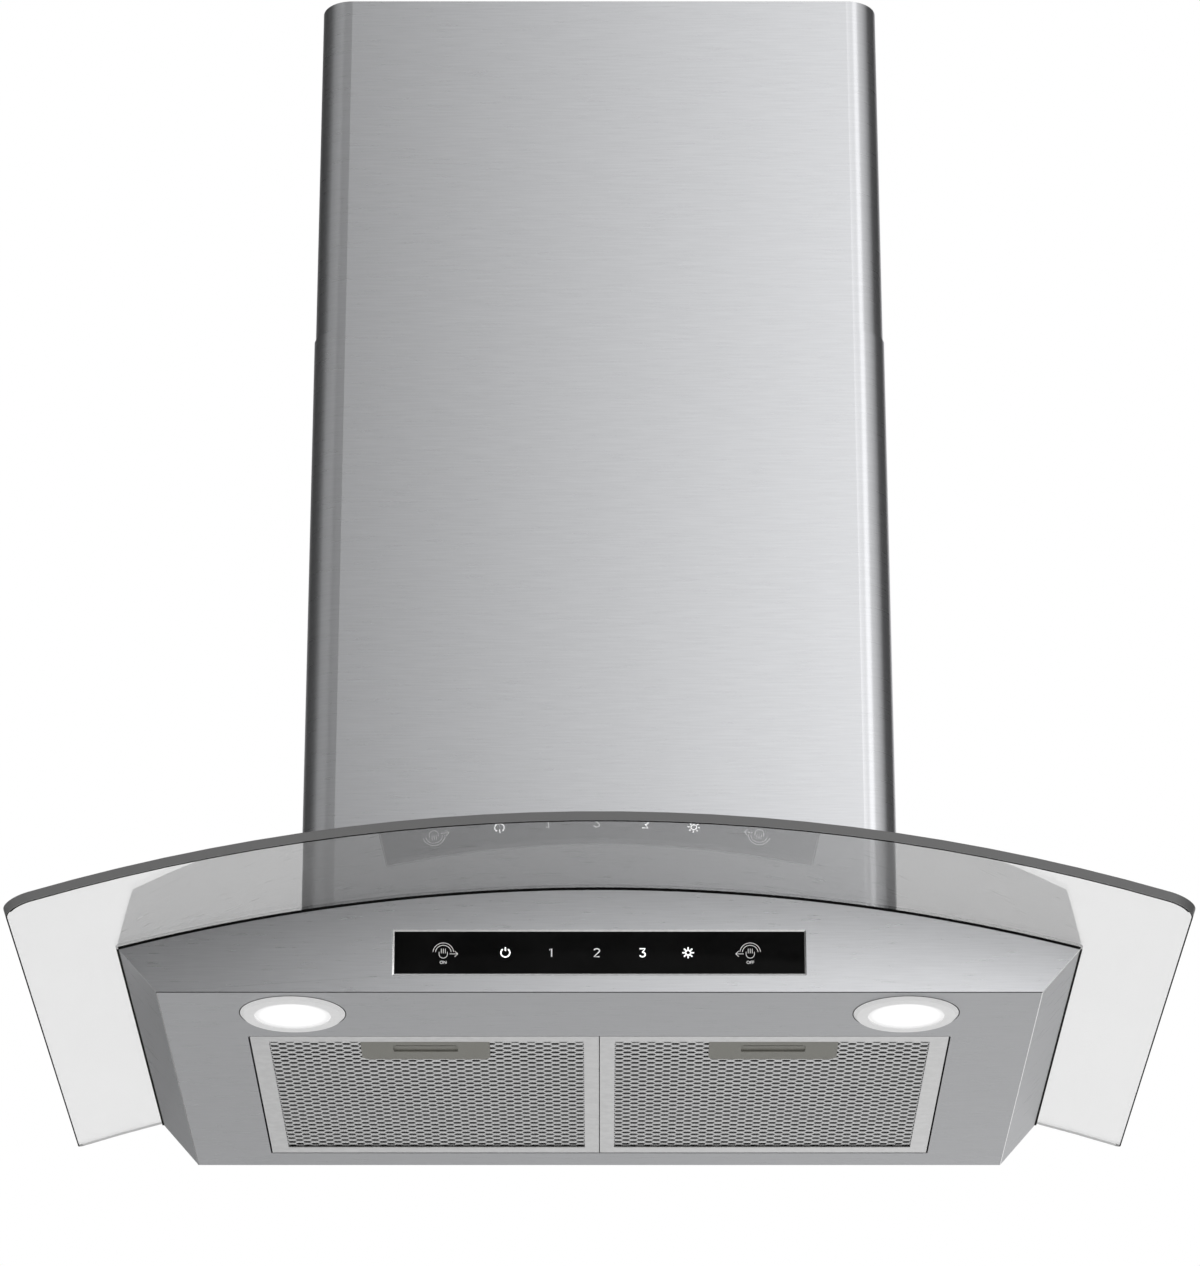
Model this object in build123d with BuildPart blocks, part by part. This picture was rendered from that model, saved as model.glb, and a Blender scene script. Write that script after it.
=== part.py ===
"""Wall mount range hood with a curved glass canopy, built as separate sheet, glass and blower pieces.

Frame: X to the right, +Y into the wall, +Z up, origin on the wall at the middle of the four wall fixings.
Sizes are in millimetres. Heights are given above the underside of the body and turned into Z by level().
"""

import os
from math import asin, cos, radians, sin, sqrt, tan

from build123d import *

# Glass canopy
GLASS_WIDTH = 750.0
GLASS_DEPTH = 500.0
GLASS_THICKNESS = 6.0
GLASS_RADIUS = 1211.0
GLASS_FRONT_CORNER = 18.0
GLASS_REAR_CORNER = 4.0
GLASS_HOLE_RADIUS = 5.0
GLASS_SCREW_INSET = 13.0

# Body under the glass
BODY_WIDTH = 573.6
BODY_TOP_WIDTH = 624.4
BODY_DEPTH = 378.0
BODY_HEIGHT = 72.0
SHEET = 1.0
SEAL_THICKNESS = 1.5
SEAL_WIDTH = 8.0
SEAL_SAG = 0.5
FRONT_SEAM = 0.8
FRONT_FLANGE_HEIGHT = 5.0

# Wall fixings
FIX_SPACING_X = 260.0
FIX_SPACING_Z = 190.0
FIX_LOW_HEIGHT = 36.0
FIX_HOLE_RADIUS = 4.0

# Filters and their latches
FILTER_SIDE_MARGIN = 53.7
FILTER_FRONT_MARGIN = 90.5
FILTER_REAR_MARGIN = 28.5
FILTER_HEIGHT = 9.0
FILTER_MIDDLE_GAP = 0.6
FILTER_SIDE_GAP = 1.2
FILTER_END_GAP = 0.6
FRAME_SHEET = 1.0
FRAME_OUTER_BORDER = 12.0
FRAME_INNER_BORDER = 10.0
FRAME_FRONT_BORDER = 11.0
FRAME_REAR_BORDER = 14.0
FRAME_EDGE_ROUND = 2.0
MESH_THICKNESS = 1.2
MESH_COLUMNS = 8
MESH_ROWS = 7
MESH_STRAND = 5.0
TAB_WIDTH = 22.0
TAB_REACH = 9.0
TAB_SPACING = 150.0
HANDLE_WIDTH = 86.0
HANDLE_DEPTH = 36.5
HANDLE_SLOT_WIDTH = 43.0
HANDLE_SLOT_DEPTH = 13.6
HANDLE_SLOT_INSET = 7.2
HANDLE_CORNER = 6.0
SLOT_CORNER = 1.5
LATCH_WIDTH = 48.0
LATCH_THICKNESS = 1.5
LATCH_REACH = 5.0
LATCH_TRAVEL = 6.0
TONGUE_WIDTH = 30.0
SPRING_SPAN = 20.0
SPRING_SHEET = 0.4

# Lamps
LAMP_SIDE_MARGIN = 86.0
LAMP_FRONT_MARGIN = 43.0
LAMP_RADIUS = 34.5
LAMP_LENS_RADIUS = 25.0
LAMP_HOLE_RADIUS = 29.5
LAMP_CAN_RADIUS = 28.0
LAMP_CAN_HEIGHT = 20.0
LAMP_RING_HEIGHT = 2.2

# Touch control
CONTROL_WIDTH = 268.6
CONTROL_HEIGHT = 31.4
CONTROL_MIDDLE = 26.9
CONTROL_GLASS = 3.0
CONTROL_RECESS = 0.4
CONTROL_GAP = 0.3
CARRIER_RIM = 5.0
CARRIER_DEPTH = 12.0
SENSOR_X = 99.6

# Blower box and its parts
BOX_SIDE_ROOM = 37.8
BOX_FRONT_ROOM = 45.0
BOX_HEIGHT = 330.0
BOX_FLANGE = 10.0
NOTCH_GAP = 5.0
SCROLL_AXIS_HEIGHT = 178.0
SCROLL_SHARE = 0.2485
SCROLL_STEP = 10.0
SCROLL_WALL = 2.0
SCROLL_WIDTH = 120.0
SCROLL_TONGUE_ANGLE = 60.0
INLET_LIP = 5.0
INLET_COVER = 13.0
IMPELLER_GAP = 12.0
IMPELLER_WIDTH = 104.0
IMPELLER_RING = 10.0
BLADE_COUNT = 24
BLADE_THICKNESS = 1.2
BLADE_LEAN = 30.0
MOTOR_AIR_GAP = 17.0
MOTOR_LENGTH = 62.0
SHAFT_RADIUS = 4.0
COLLAR_RADIUS = 74.5
COLLAR_WALL = 2.0
COLLAR_HEIGHT = 45.0
COLLAR_FLANGE = 13.0
FLAP_HEIGHT = 14.0
FLAP_THICKNESS = 1.5
FLAP_HINGE_OFFSET = 6.0
FLAP_PIN_RADIUS = 1.5
FLAP_EDGE_GAP = 1.2
POWER_BOX_DEPTH = 110.0
POWER_BOX_HEIGHT = 130.0
POWER_BOX_THICKNESS = 27.0
POWER_BOX_LEVEL = 140.0
GLAND_RADIUS = 8.0
CORD_RADIUS = 4.0

# Chimney
CHIMNEY_WIDTH = 405.6
CHIMNEY_DEPTH = 270.0
CHIMNEY_CORNER = 23.0
CHIMNEY_SHEET = 0.6
CHIMNEY_GAP = 0.3
CHIMNEY_RETURN = 15.0
LOWER_CHIMNEY_TOP = 531.6
CHIMNEY_TOP = 800.0
UPPER_CHIMNEY_LENGTH = 455.0
VENT_COUNT = 5
VENT_LENGTH = 110.0
VENT_HEIGHT = 4.0
VENT_PITCH = 11.0
FOOT_LEVEL = 84.0
FOOT_HEIGHT = 24.0
FOOT_DEPTH = 30.0
BRACKET_HEIGHT = 25.0
BRACKET_SHEET = 1.5
BRACKET_DROP = 12.0
BRACKET_ARM = 40.0
BRACKET_SLOT_SPACING = 200.0

# Fits shared by the pieces
WALL_GAP = 1.0
SEAT = 0.2
SLIDE_GAP = 0.3
SCREW_RADIUS = 2.0
SCREW_HEAD_RADIUS = 3.8
SCREW_HEAD_HEIGHT = 2.4
SCREW_LENGTH = 6.0
SCREW_FACETS = 12
WASHER_FACETS = 24

SIDES = {"left": -1, "right": 1}

# Places worked out from the sizes above
UNDERSIDE = -(FIX_LOW_HEIGHT + FIX_SPACING_Z / 2)


def level(height):
    """Z of a height above the underside of the body."""
    return UNDERSIDE + height


ARCH_CENTRE = level(BODY_HEIGHT + GLASS_THICKNESS) - GLASS_RADIUS
GLASS_UNDER_RADIUS = GLASS_RADIUS - GLASS_THICKNESS
DECK_RADIUS = GLASS_UNDER_RADIUS - SEAL_THICKNESS
SHELL_RADIUS = DECK_RADIUS - SHEET


def arch(x, radius):
    """Z of the arch of the given radius at x."""
    return ARCH_CENTRE + sqrt(radius**2 - x**2)


SIDE_RISE = arch(BODY_TOP_WIDTH / 2, DECK_RADIUS) - UNDERSIDE
SIDE_RUN = (BODY_TOP_WIDTH - BODY_WIDTH) / 2


def side_x(z, inset=0.0):
    """Half width of the sloping side at z, moved in by a sheet measured square to the slope."""
    slope_length = sqrt(SIDE_RISE**2 + SIDE_RUN**2)
    return BODY_WIDTH / 2 + (z - UNDERSIDE) * SIDE_RUN / SIDE_RISE - inset * slope_length / SIDE_RISE


def side_on_arch(radius, inset=0.0):
    """Half width at which the sloping side meets the arch of the given radius."""
    half = BODY_TOP_WIDTH / 2
    for _ in range(20):
        half = side_x(arch(half, radius), inset)
    return half


FRONT_INSIDE = BODY_DEPTH - SHEET
FILTER_WIDTH = BODY_WIDTH / 2 - FILTER_SIDE_MARGIN - FILTER_SIDE_GAP - FILTER_MIDDLE_GAP / 2
FILTER_FRONT = BODY_DEPTH - FILTER_FRONT_MARGIN
FILTER_REAR = FILTER_REAR_MARGIN
FILTER_DEPTH = FILTER_FRONT - FILTER_REAR
LAMP_X = BODY_WIDTH / 2 - LAMP_SIDE_MARGIN
LAMP_Y = BODY_DEPTH - LAMP_FRONT_MARGIN
BOX_WIDTH = CHIMNEY_WIDTH - 2 * BOX_SIDE_ROOM
BOX_DEPTH = CHIMNEY_DEPTH - BOX_FRONT_ROOM
SCROLL_RADIUS = BOX_WIDTH * SCROLL_SHARE
IMPELLER_RADIUS = SCROLL_RADIUS - IMPELLER_GAP
INLET_RADIUS = IMPELLER_RADIUS - INLET_COVER
MOTOR_RADIUS = INLET_RADIUS - MOTOR_AIR_GAP
SCROLL_TONGUE_X = -SCROLL_STEP / 2 + (SCROLL_RADIUS - SCROLL_STEP) * cos(radians(SCROLL_TONGUE_ANGLE))
SCROLL_TONGUE_Z = SCROLL_STEP / 2 + (SCROLL_RADIUS - SCROLL_STEP) * sin(radians(SCROLL_TONGUE_ANGLE))
SCROLL_RIGHT = SCROLL_STEP / 2 + SCROLL_RADIUS + 2 * SCROLL_STEP
SCROLL_X = -(SCROLL_TONGUE_X + SCROLL_RIGHT) / 2
SCROLL_Z = level(SCROLL_AXIS_HEIGHT)
SCROLL_Y = -BOX_DEPTH / 2
BOX_TOP = level(BOX_HEIGHT)
SCROLL_TOP = BOX_TOP - SHEET - SEAT
COLLAR_Y = SCROLL_Y
GLASS_SCREWS = [
    (side * (BOX_WIDTH / 2 + NOTCH_GAP + GLASS_SCREW_INSET), -BOX_DEPTH * share)
    for side in (-1, 1)
    for share in (0.25, 0.9)
]

os.makedirs("parts", exist_ok=True)


def save(builder, name):
    """Label a finished piece and write its solid."""
    builder.part.label = name
    export_step(builder.part, f"parts/{name}.step")


def arch_band(outer_radius, inner_radius, outer_half, inner_half):
    """Section between two arches, with straight ends."""
    with BuildSketch() as section:
        with BuildLine():
            ThreePointArc(
                (-outer_half, arch(outer_half, outer_radius)),
                (0, arch(0, outer_radius)),
                (outer_half, arch(outer_half, outer_radius)),
            )
            Line((outer_half, arch(outer_half, outer_radius)), (inner_half, arch(inner_half, inner_radius)))
            ThreePointArc(
                (inner_half, arch(inner_half, inner_radius)),
                (0, arch(0, inner_radius)),
                (-inner_half, arch(inner_half, inner_radius)),
            )
            Line((-inner_half, arch(inner_half, inner_radius)), (-outer_half, arch(outer_half, outer_radius)))
        make_face()
    return section.sketch


def body_section(top_radius):
    """Outline of the body seen from the front, up to the arch of the given radius."""
    top_half = side_on_arch(top_radius)
    with BuildSketch() as section:
        with BuildLine():
            Polyline(
                (-top_half, arch(top_half, top_radius)),
                (-BODY_WIDTH / 2, UNDERSIDE),
                (BODY_WIDTH / 2, UNDERSIDE),
                (top_half, arch(top_half, top_radius)),
            )
            ThreePointArc(
                (top_half, arch(top_half, top_radius)),
                (0, arch(0, top_radius)),
                (-top_half, arch(top_half, top_radius)),
            )
        make_face()
    return section.sketch


# Body shell: underside, sloping sides and back wall folded from one sheet
FILTER_OPENING_WIDTH = 2 * (FILTER_WIDTH + FILTER_SIDE_GAP) + FILTER_MIDDLE_GAP
FILTER_OPENING_DEPTH = FILTER_DEPTH + 2 * FILTER_END_GAP
FILTER_MIDDLE_Y = -(FILTER_FRONT + FILTER_REAR) / 2

with BuildPart() as body_shell:
    with BuildSketch(Plane.XZ):
        add(body_section(SHELL_RADIUS))
    extrude(amount=FRONT_INSIDE)
    with BuildSketch(Plane.XZ.offset(SHEET)):
        floor_half = side_x(level(SHEET), SHEET)
        open_top = level(2 * BODY_HEIGHT)
        Polygon(
            (-floor_half, level(SHEET)),
            (floor_half, level(SHEET)),
            (side_x(open_top, SHEET), open_top),
            (-side_x(open_top, SHEET), open_top),
            align=None,
        )
    extrude(amount=BODY_DEPTH, mode=Mode.SUBTRACT)
    with BuildSketch(Plane.XY.offset(UNDERSIDE)):
        with Locations((0, FILTER_MIDDLE_Y)):
            RectangleRounded(FILTER_OPENING_WIDTH, FILTER_OPENING_DEPTH, FRAME_EDGE_ROUND)
        with Locations(*[(side * LAMP_X, -LAMP_Y) for side in SIDES.values()]):
            Circle(LAMP_HOLE_RADIUS)
        with Locations((0, -FRONT_INSIDE + FRONT_SEAM / 2)):
            Rectangle(2 * floor_half, FRONT_SEAM)
    extrude(amount=SHEET, mode=Mode.SUBTRACT)
    with BuildSketch(Plane.XY.offset(level(SHEET))):
        with Locations((0, -FRONT_INSIDE + FRONT_SEAM + SHEET / 2)):
            Rectangle(2 * floor_half, SHEET)
    extrude(amount=FRONT_FLANGE_HEIGHT - SHEET)
    with BuildSketch(Plane.XZ):
        with Locations(*[(side * FIX_SPACING_X / 2, -FIX_SPACING_Z / 2) for side in SIDES.values()]):
            Circle(FIX_HOLE_RADIUS)
    extrude(amount=SHEET, mode=Mode.SUBTRACT)
save(body_shell, "body_shell")

# Front panel with the arched top edge and the control cut-out
with BuildPart() as front_panel:
    with BuildSketch(Plane.XZ.offset(FRONT_INSIDE)):
        add(body_section(DECK_RADIUS))
        with Locations((0, level(CONTROL_MIDDLE))):
            RectangleRounded(CONTROL_WIDTH, CONTROL_HEIGHT, FRAME_SHEET, mode=Mode.SUBTRACT)
    extrude(amount=SHEET)
save(front_panel, "front_panel")

# Deck: curved top sheet that carries the glass and the blower box
with BuildPart() as deck_panel:
    with BuildSketch(Plane.XZ):
        add(arch_band(DECK_RADIUS, SHELL_RADIUS, side_on_arch(DECK_RADIUS), side_on_arch(SHELL_RADIUS)))
    extrude(amount=FRONT_INSIDE)
    with BuildSketch(Plane.XY):
        with Locations((0, SCROLL_Y)):
            Rectangle(BOX_WIDTH - 2 * BOX_FLANGE, BOX_DEPTH - 2 * BOX_FLANGE)
        with Locations(*GLASS_SCREWS):
            Circle(SCREW_RADIUS + SEAT)
    extrude(amount=BODY_HEIGHT * 2, both=True, mode=Mode.SUBTRACT)
save(deck_panel, "deck_panel")

# Seal between the deck and the glass along the front and both sides
SEAL_HALF = side_on_arch(DECK_RADIUS)
with BuildPart() as glass_seal:
    with BuildSketch(Plane.XZ):
        add(arch_band(GLASS_UNDER_RADIUS - SEAL_SAG, DECK_RADIUS, SEAL_HALF, SEAL_HALF))
    extrude(amount=BODY_DEPTH)
    with BuildSketch(Plane.XY.offset(UNDERSIDE)):
        with Locations((0, -(BODY_DEPTH - SEAL_WIDTH) / 2)):
            Rectangle(2 * (SEAL_HALF - SEAL_WIDTH), BODY_DEPTH - SEAL_WIDTH)
    extrude(amount=BODY_HEIGHT * 2, mode=Mode.SUBTRACT)
save(glass_seal, "glass_seal")

# Glass canopy with a notch at the rear that slips round the blower box
GLASS_END = asin(GLASS_WIDTH / 2 / GLASS_RADIUS)
with BuildPart() as glass_canopy:
    with BuildSketch(Plane.XZ.offset(WALL_GAP)):
        add(arch_band(GLASS_RADIUS, GLASS_UNDER_RADIUS, GLASS_WIDTH / 2, GLASS_UNDER_RADIUS * sin(GLASS_END)))
    extrude(amount=GLASS_DEPTH - WALL_GAP)
    corners = glass_canopy.edges().filter_by(GeomType.LINE).filter_by(
        lambda edge: abs(edge.length - GLASS_THICKNESS) < SEAT
    )
    fillet(corners.group_by(Axis.Y)[0], GLASS_FRONT_CORNER)
    corners = glass_canopy.edges().filter_by(GeomType.LINE).filter_by(
        lambda edge: abs(edge.length - GLASS_THICKNESS) < SEAT
    )
    fillet(corners.group_by(Axis.Y)[-1], GLASS_REAR_CORNER)
    with BuildSketch(Plane.XY):
        notch_depth = BOX_DEPTH + NOTCH_GAP
        with Locations((0, -notch_depth / 2)):
            Rectangle(BOX_WIDTH + 2 * NOTCH_GAP, notch_depth)
        with Locations(*GLASS_SCREWS):
            Circle(GLASS_HOLE_RADIUS)
    extrude(amount=BODY_HEIGHT * 2, both=True, mode=Mode.SUBTRACT)
save(glass_canopy, "glass_canopy")

# Rubber washers and screws that clamp the glass to the deck
WASHER_RADIUS = 1.8 * GLASS_HOLE_RADIUS
WASHER_THICKNESS = 2.0


def glass_top(x):
    """Z at which a flat washer centred at x clears the curved glass."""
    return arch(abs(x) - WASHER_RADIUS, GLASS_RADIUS) + SEAT


with BuildPart() as glass_washers:
    for x, y in GLASS_SCREWS:
        with BuildSketch(Plane((x, y, glass_top(x)))):
            RegularPolygon(WASHER_RADIUS, WASHER_FACETS)
            RegularPolygon(SCREW_RADIUS + SEAT, WASHER_FACETS, mode=Mode.SUBTRACT)
        extrude(amount=WASHER_THICKNESS)
save(glass_washers, "glass_washers")

with BuildPart() as glass_screws:
    for x, y in GLASS_SCREWS:
        head_z = glass_top(x) + WASHER_THICKNESS
        with BuildSketch(Plane((x, y, head_z))):
            RegularPolygon(1.4 * SCREW_HEAD_RADIUS, 6)
        extrude(amount=SCREW_HEAD_HEIGHT)
        with BuildSketch(Plane((x, y, head_z))):
            RegularPolygon(SCREW_RADIUS, SCREW_FACETS)
        extrude(amount=-(head_z - arch(x, SHELL_RADIUS) + 3 * SHEET))
save(glass_screws, "glass_screws")

# Touch control: glass in the cut-out, carrier behind it, board and hand sensors
CONTROL_FACE = BODY_DEPTH - CONTROL_RECESS
CONTROL_BACK = CONTROL_FACE - CONTROL_GLASS
CARRIER_BACK = FRONT_INSIDE - CARRIER_DEPTH
BOARD_THICKNESS = 1.6
with BuildPart() as control_glass:
    with BuildSketch(Plane.XZ.offset(CONTROL_BACK)):
        with Locations((0, level(CONTROL_MIDDLE))):
            RectangleRounded(CONTROL_WIDTH - 2 * CONTROL_GAP, CONTROL_HEIGHT - 2 * CONTROL_GAP, FRAME_SHEET)
    extrude(amount=CONTROL_GLASS)
save(control_glass, "control_glass")

with BuildPart() as control_carrier:
    with BuildSketch(Plane.XZ.offset(CARRIER_BACK)):
        with Locations((0, level(CONTROL_MIDDLE))):
            Rectangle(CONTROL_WIDTH + 2 * CARRIER_RIM, CONTROL_HEIGHT + 2 * CARRIER_RIM)
    extrude(amount=CARRIER_DEPTH)
    with BuildSketch(Plane.XZ.offset(CONTROL_BACK)):
        with Locations((0, level(CONTROL_MIDDLE))):
            Rectangle(CONTROL_WIDTH, CONTROL_HEIGHT)
    extrude(amount=CONTROL_GLASS, mode=Mode.SUBTRACT)
    with BuildSketch(Plane.XZ.offset(CARRIER_BACK + 2 * SHEET)):
        with Locations((0, level(CONTROL_MIDDLE))):
            Rectangle(CONTROL_WIDTH - CARRIER_RIM, CONTROL_HEIGHT - CARRIER_RIM)
    extrude(amount=CARRIER_DEPTH, mode=Mode.SUBTRACT)
save(control_carrier, "control_carrier")

with BuildPart() as control_board:
    with BuildSketch(Plane.XZ.offset(CARRIER_BACK + 2 * SHEET + SEAT)):
        with Locations((0, level(CONTROL_MIDDLE))):
            Rectangle(CONTROL_WIDTH - 2 * CARRIER_RIM, CONTROL_HEIGHT - 2 * CARRIER_RIM)
    extrude(amount=BOARD_THICKNESS)
save(control_board, "control_board")

BOARD_FACE = CARRIER_BACK + 2 * SHEET + SEAT + BOARD_THICKNESS
with BuildPart() as hand_sensors:
    with BuildSketch(Plane.XZ.offset(BOARD_FACE)):
        with Locations(*[(side * SENSOR_X, level(CONTROL_MIDDLE)) for side in SIDES.values()]):
            Rectangle(3 * CARRIER_RIM, 2 * CARRIER_RIM)
    extrude(amount=CONTROL_BACK - BOARD_FACE - SEAT)
save(hand_sensors, "hand_sensors")

# Lamps: trim ring, lens, can and two spring clips on each side
LENS_THICKNESS = 1.5
CLIP_WIDTH = 8.0
CLIP_SHEET = 0.8
for side_name, side in SIDES.items():
    lamp_plane = Plane((side * LAMP_X, -LAMP_Y, UNDERSIDE), x_dir=(1, 0, 0), z_dir=(0, -1, 0))
    lamp_axis = Axis((side * LAMP_X, -LAMP_Y, UNDERSIDE), (0, 0, 1))

    with BuildPart() as lamp_ring:
        with BuildSketch(lamp_plane):
            with BuildLine():
                Polyline(
                    (LAMP_RADIUS, 0),
                    (LAMP_RADIUS - LAMP_RING_HEIGHT, -LAMP_RING_HEIGHT),
                    (LAMP_LENS_RADIUS, -LAMP_RING_HEIGHT),
                    (LAMP_LENS_RADIUS, 0),
                    close=True,
                )
            make_face()
        revolve(axis=lamp_axis)
    save(lamp_ring, f"lamp_{side_name}_ring")

    with BuildPart() as lamp_lens:
        with BuildSketch(Plane((side * LAMP_X, -LAMP_Y, UNDERSIDE))):
            Circle(LAMP_LENS_RADIUS - SEAT)
        extrude(amount=-LENS_THICKNESS)
    save(lamp_lens, f"lamp_{side_name}_lens")

    with BuildPart() as lamp_can:
        with BuildSketch(Plane((side * LAMP_X, -LAMP_Y, UNDERSIDE))):
            Circle(LAMP_CAN_RADIUS)
        extrude(amount=LAMP_CAN_HEIGHT)
        with BuildSketch(Plane((side * LAMP_X, -LAMP_Y, level(LAMP_CAN_HEIGHT / 2)))):
            for fin in range(5):
                with Locations((0, (fin - 2) * LAMP_CAN_RADIUS / 2.5)):
                    Rectangle(2 * LAMP_CAN_RADIUS, LAMP_CAN_RADIUS / 5)
        extrude(amount=LAMP_CAN_HEIGHT, mode=Mode.SUBTRACT)
    save(lamp_can, f"lamp_{side_name}_can")

    with BuildPart() as lamp_clips:
        for way in (-1, 1):
            with BuildSketch(Plane((side * LAMP_X, -LAMP_Y, level(SHEET)), x_dir=(way, 0, 0), z_dir=(0, -way, 0))):
                with BuildLine():
                    Polyline(
                        (LAMP_CAN_RADIUS + SEAT, LAMP_CAN_HEIGHT / 3),
                        (LAMP_CAN_RADIUS + SEAT + CLIP_SHEET, LAMP_CAN_HEIGHT / 3),
                        (LAMP_CAN_RADIUS + 2 * CLIP_WIDTH, SEAT + CLIP_SHEET),
                        (LAMP_CAN_RADIUS + 2 * CLIP_WIDTH, SEAT),
                        (LAMP_CAN_RADIUS + CLIP_WIDTH, SEAT),
                        (LAMP_CAN_RADIUS + SEAT, SEAT + CLIP_SHEET),
                        close=True,
                    )
                make_face()
            extrude(amount=CLIP_WIDTH / 2, both=True)
    save(lamp_clips, f"lamp_{side_name}_clips")

# Blower box that stands on the deck, with the upper wall fixings in its back
with BuildPart() as blower_box:
    with BuildSketch(Plane.XY.offset(UNDERSIDE)):
        with Locations((0, SCROLL_Y)):
            Rectangle(BOX_WIDTH, BOX_DEPTH)
    extrude(amount=BOX_HEIGHT)
    with BuildSketch(Plane.XY.offset(UNDERSIDE)):
        with Locations((0, SCROLL_Y)):
            Rectangle(BOX_WIDTH - 2 * SHEET, BOX_DEPTH - 2 * SHEET)
    extrude(amount=BOX_HEIGHT - SHEET, mode=Mode.SUBTRACT)
    with BuildSketch(Plane.XZ):
        with Locations((0, ARCH_CENTRE)):
            Circle(DECK_RADIUS + SEAT)
    extrude(amount=BOX_DEPTH, mode=Mode.SUBTRACT)
    with BuildSketch(Plane.XY.offset(BOX_TOP)):
        with Locations((0, COLLAR_Y)):
            Circle(COLLAR_RADIUS - COLLAR_WALL)
    extrude(amount=-SHEET, mode=Mode.SUBTRACT)
    with BuildSketch(Plane.XZ):
        with Locations(*[(side * FIX_SPACING_X / 2, FIX_SPACING_Z / 2) for side in SIDES.values()]):
            Circle(FIX_HOLE_RADIUS)
    extrude(amount=SHEET, mode=Mode.SUBTRACT)
save(blower_box, "blower_box")


# Scroll housing in two halves, drawn as four quarter arcs whose centres walk round a small square
def scroll_outline(top):
    """Air space of the scroll from its tongue round to the outlet, open up to the given Z."""
    half = SCROLL_STEP / 2
    tongue = (SCROLL_X + SCROLL_TONGUE_X, SCROLL_Z + SCROLL_TONGUE_Z)
    right = (SCROLL_X + SCROLL_RIGHT, SCROLL_Z + half)
    with BuildSketch() as outline:
        with BuildLine():
            CenterArc(
                (SCROLL_X - half, SCROLL_Z + half),
                SCROLL_RADIUS - SCROLL_STEP,
                SCROLL_TONGUE_ANGLE,
                90 - SCROLL_TONGUE_ANGLE,
            )
            CenterArc((SCROLL_X - half, SCROLL_Z - half), SCROLL_RADIUS, 90, 90)
            CenterArc((SCROLL_X + half, SCROLL_Z - half), SCROLL_RADIUS + SCROLL_STEP, 180, 90)
            CenterArc((SCROLL_X + half, SCROLL_Z + half), SCROLL_RADIUS + 2 * SCROLL_STEP, 270, 90)
            Polyline(right, (right[0], top), (tongue[0], top), tongue)
        make_face()
    return outline.sketch


scroll_middle = Plane.XZ.offset(-SCROLL_Y)
FLANGE_REACH = 8.0
for half_name, way in {"front": 1, "back": -1}.items():
    with BuildPart() as scroll_half:
        with BuildSketch(scroll_middle):
            add(scroll_outline(SCROLL_TOP - SCROLL_WALL))
            offset(amount=SCROLL_WALL)
        extrude(amount=way * SCROLL_WIDTH / 2)
        with BuildSketch(Plane.XY.offset(SCROLL_TOP)):
            with Locations((0, SCROLL_Y - way * (SCROLL_WIDTH / 2 + FLANGE_REACH) / 2)):
                Rectangle(
                    SCROLL_RIGHT - SCROLL_TONGUE_X + 2 * FLANGE_REACH,
                    SCROLL_WIDTH / 2 + FLANGE_REACH,
                )
        extrude(amount=-SCROLL_WALL)
        with BuildSketch(scroll_middle):
            add(scroll_outline(SCROLL_TOP + SCROLL_WALL))
        extrude(amount=way * (SCROLL_WIDTH / 2 - SCROLL_WALL), mode=Mode.SUBTRACT)
        with BuildSketch(scroll_middle.offset(way * SCROLL_WIDTH / 2)):
            with Locations((SCROLL_X, SCROLL_Z)):
                Circle(INLET_RADIUS + SCROLL_WALL)
        extrude(amount=way * INLET_LIP)
        with BuildSketch(scroll_middle):
            with Locations((SCROLL_X, SCROLL_Z)):
                Circle(INLET_RADIUS)
        extrude(amount=way * SCROLL_WIDTH, mode=Mode.SUBTRACT)
    save(scroll_half, f"scroll_{half_name}")


# Impeller with two rows of forward-leaning blades, its shaft and nut
wheel_plane = Plane((SCROLL_X, SCROLL_Y, SCROLL_Z), x_dir=(1, 0, 0), z_dir=(0, -1, 0))
HUB_RADIUS = 3 * SHAFT_RADIUS
HUB_LENGTH = 5 * SHAFT_RADIUS
DISC_THICKNESS = 2.0


def blade_section():
    """Section of one folded blade from the inner to the outer edge of the rings."""
    inner = IMPELLER_RADIUS - IMPELLER_RING + BLADE_THICKNESS
    outer = IMPELLER_RADIUS - BLADE_THICKNESS
    middle = (inner + outer) / 2
    lead = asin(IMPELLER_RING * tan(radians(BLADE_LEAN)) / IMPELLER_RADIUS)
    turn = BLADE_THICKNESS / outer

    def at(radius, angle):
        return (radius * cos(angle), radius * sin(angle))

    with BuildSketch() as section:
        Polygon(
            at(inner, 0),
            at(middle, lead / 4),
            at(outer, lead),
            at(outer, lead + turn),
            at(middle, lead / 4 + turn),
            at(inner, turn),
            align=None,
        )
    return section.sketch


with BuildPart() as impeller:
    with BuildSketch(wheel_plane.offset(-IMPELLER_WIDTH / 2)):
        with PolarLocations(0, BLADE_COUNT):
            add(blade_section())
    extrude(amount=IMPELLER_WIDTH)
    for end in (-1, 1):
        with BuildSketch(wheel_plane.offset(end * IMPELLER_WIDTH / 2)):
            Circle(IMPELLER_RADIUS)
            Circle(IMPELLER_RADIUS - IMPELLER_RING, mode=Mode.SUBTRACT)
        extrude(amount=-end * DISC_THICKNESS)
    with BuildSketch(wheel_plane):
        Circle(IMPELLER_RADIUS)
    extrude(amount=DISC_THICKNESS / 2, both=True)
    with BuildSketch(wheel_plane):
        Circle(HUB_RADIUS)
    extrude(amount=HUB_LENGTH / 2, both=True)
    with BuildSketch(wheel_plane):
        Circle(SHAFT_RADIUS + SEAT / 4)
    extrude(amount=IMPELLER_WIDTH, both=True, mode=Mode.SUBTRACT)
save(impeller, "impeller")

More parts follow.
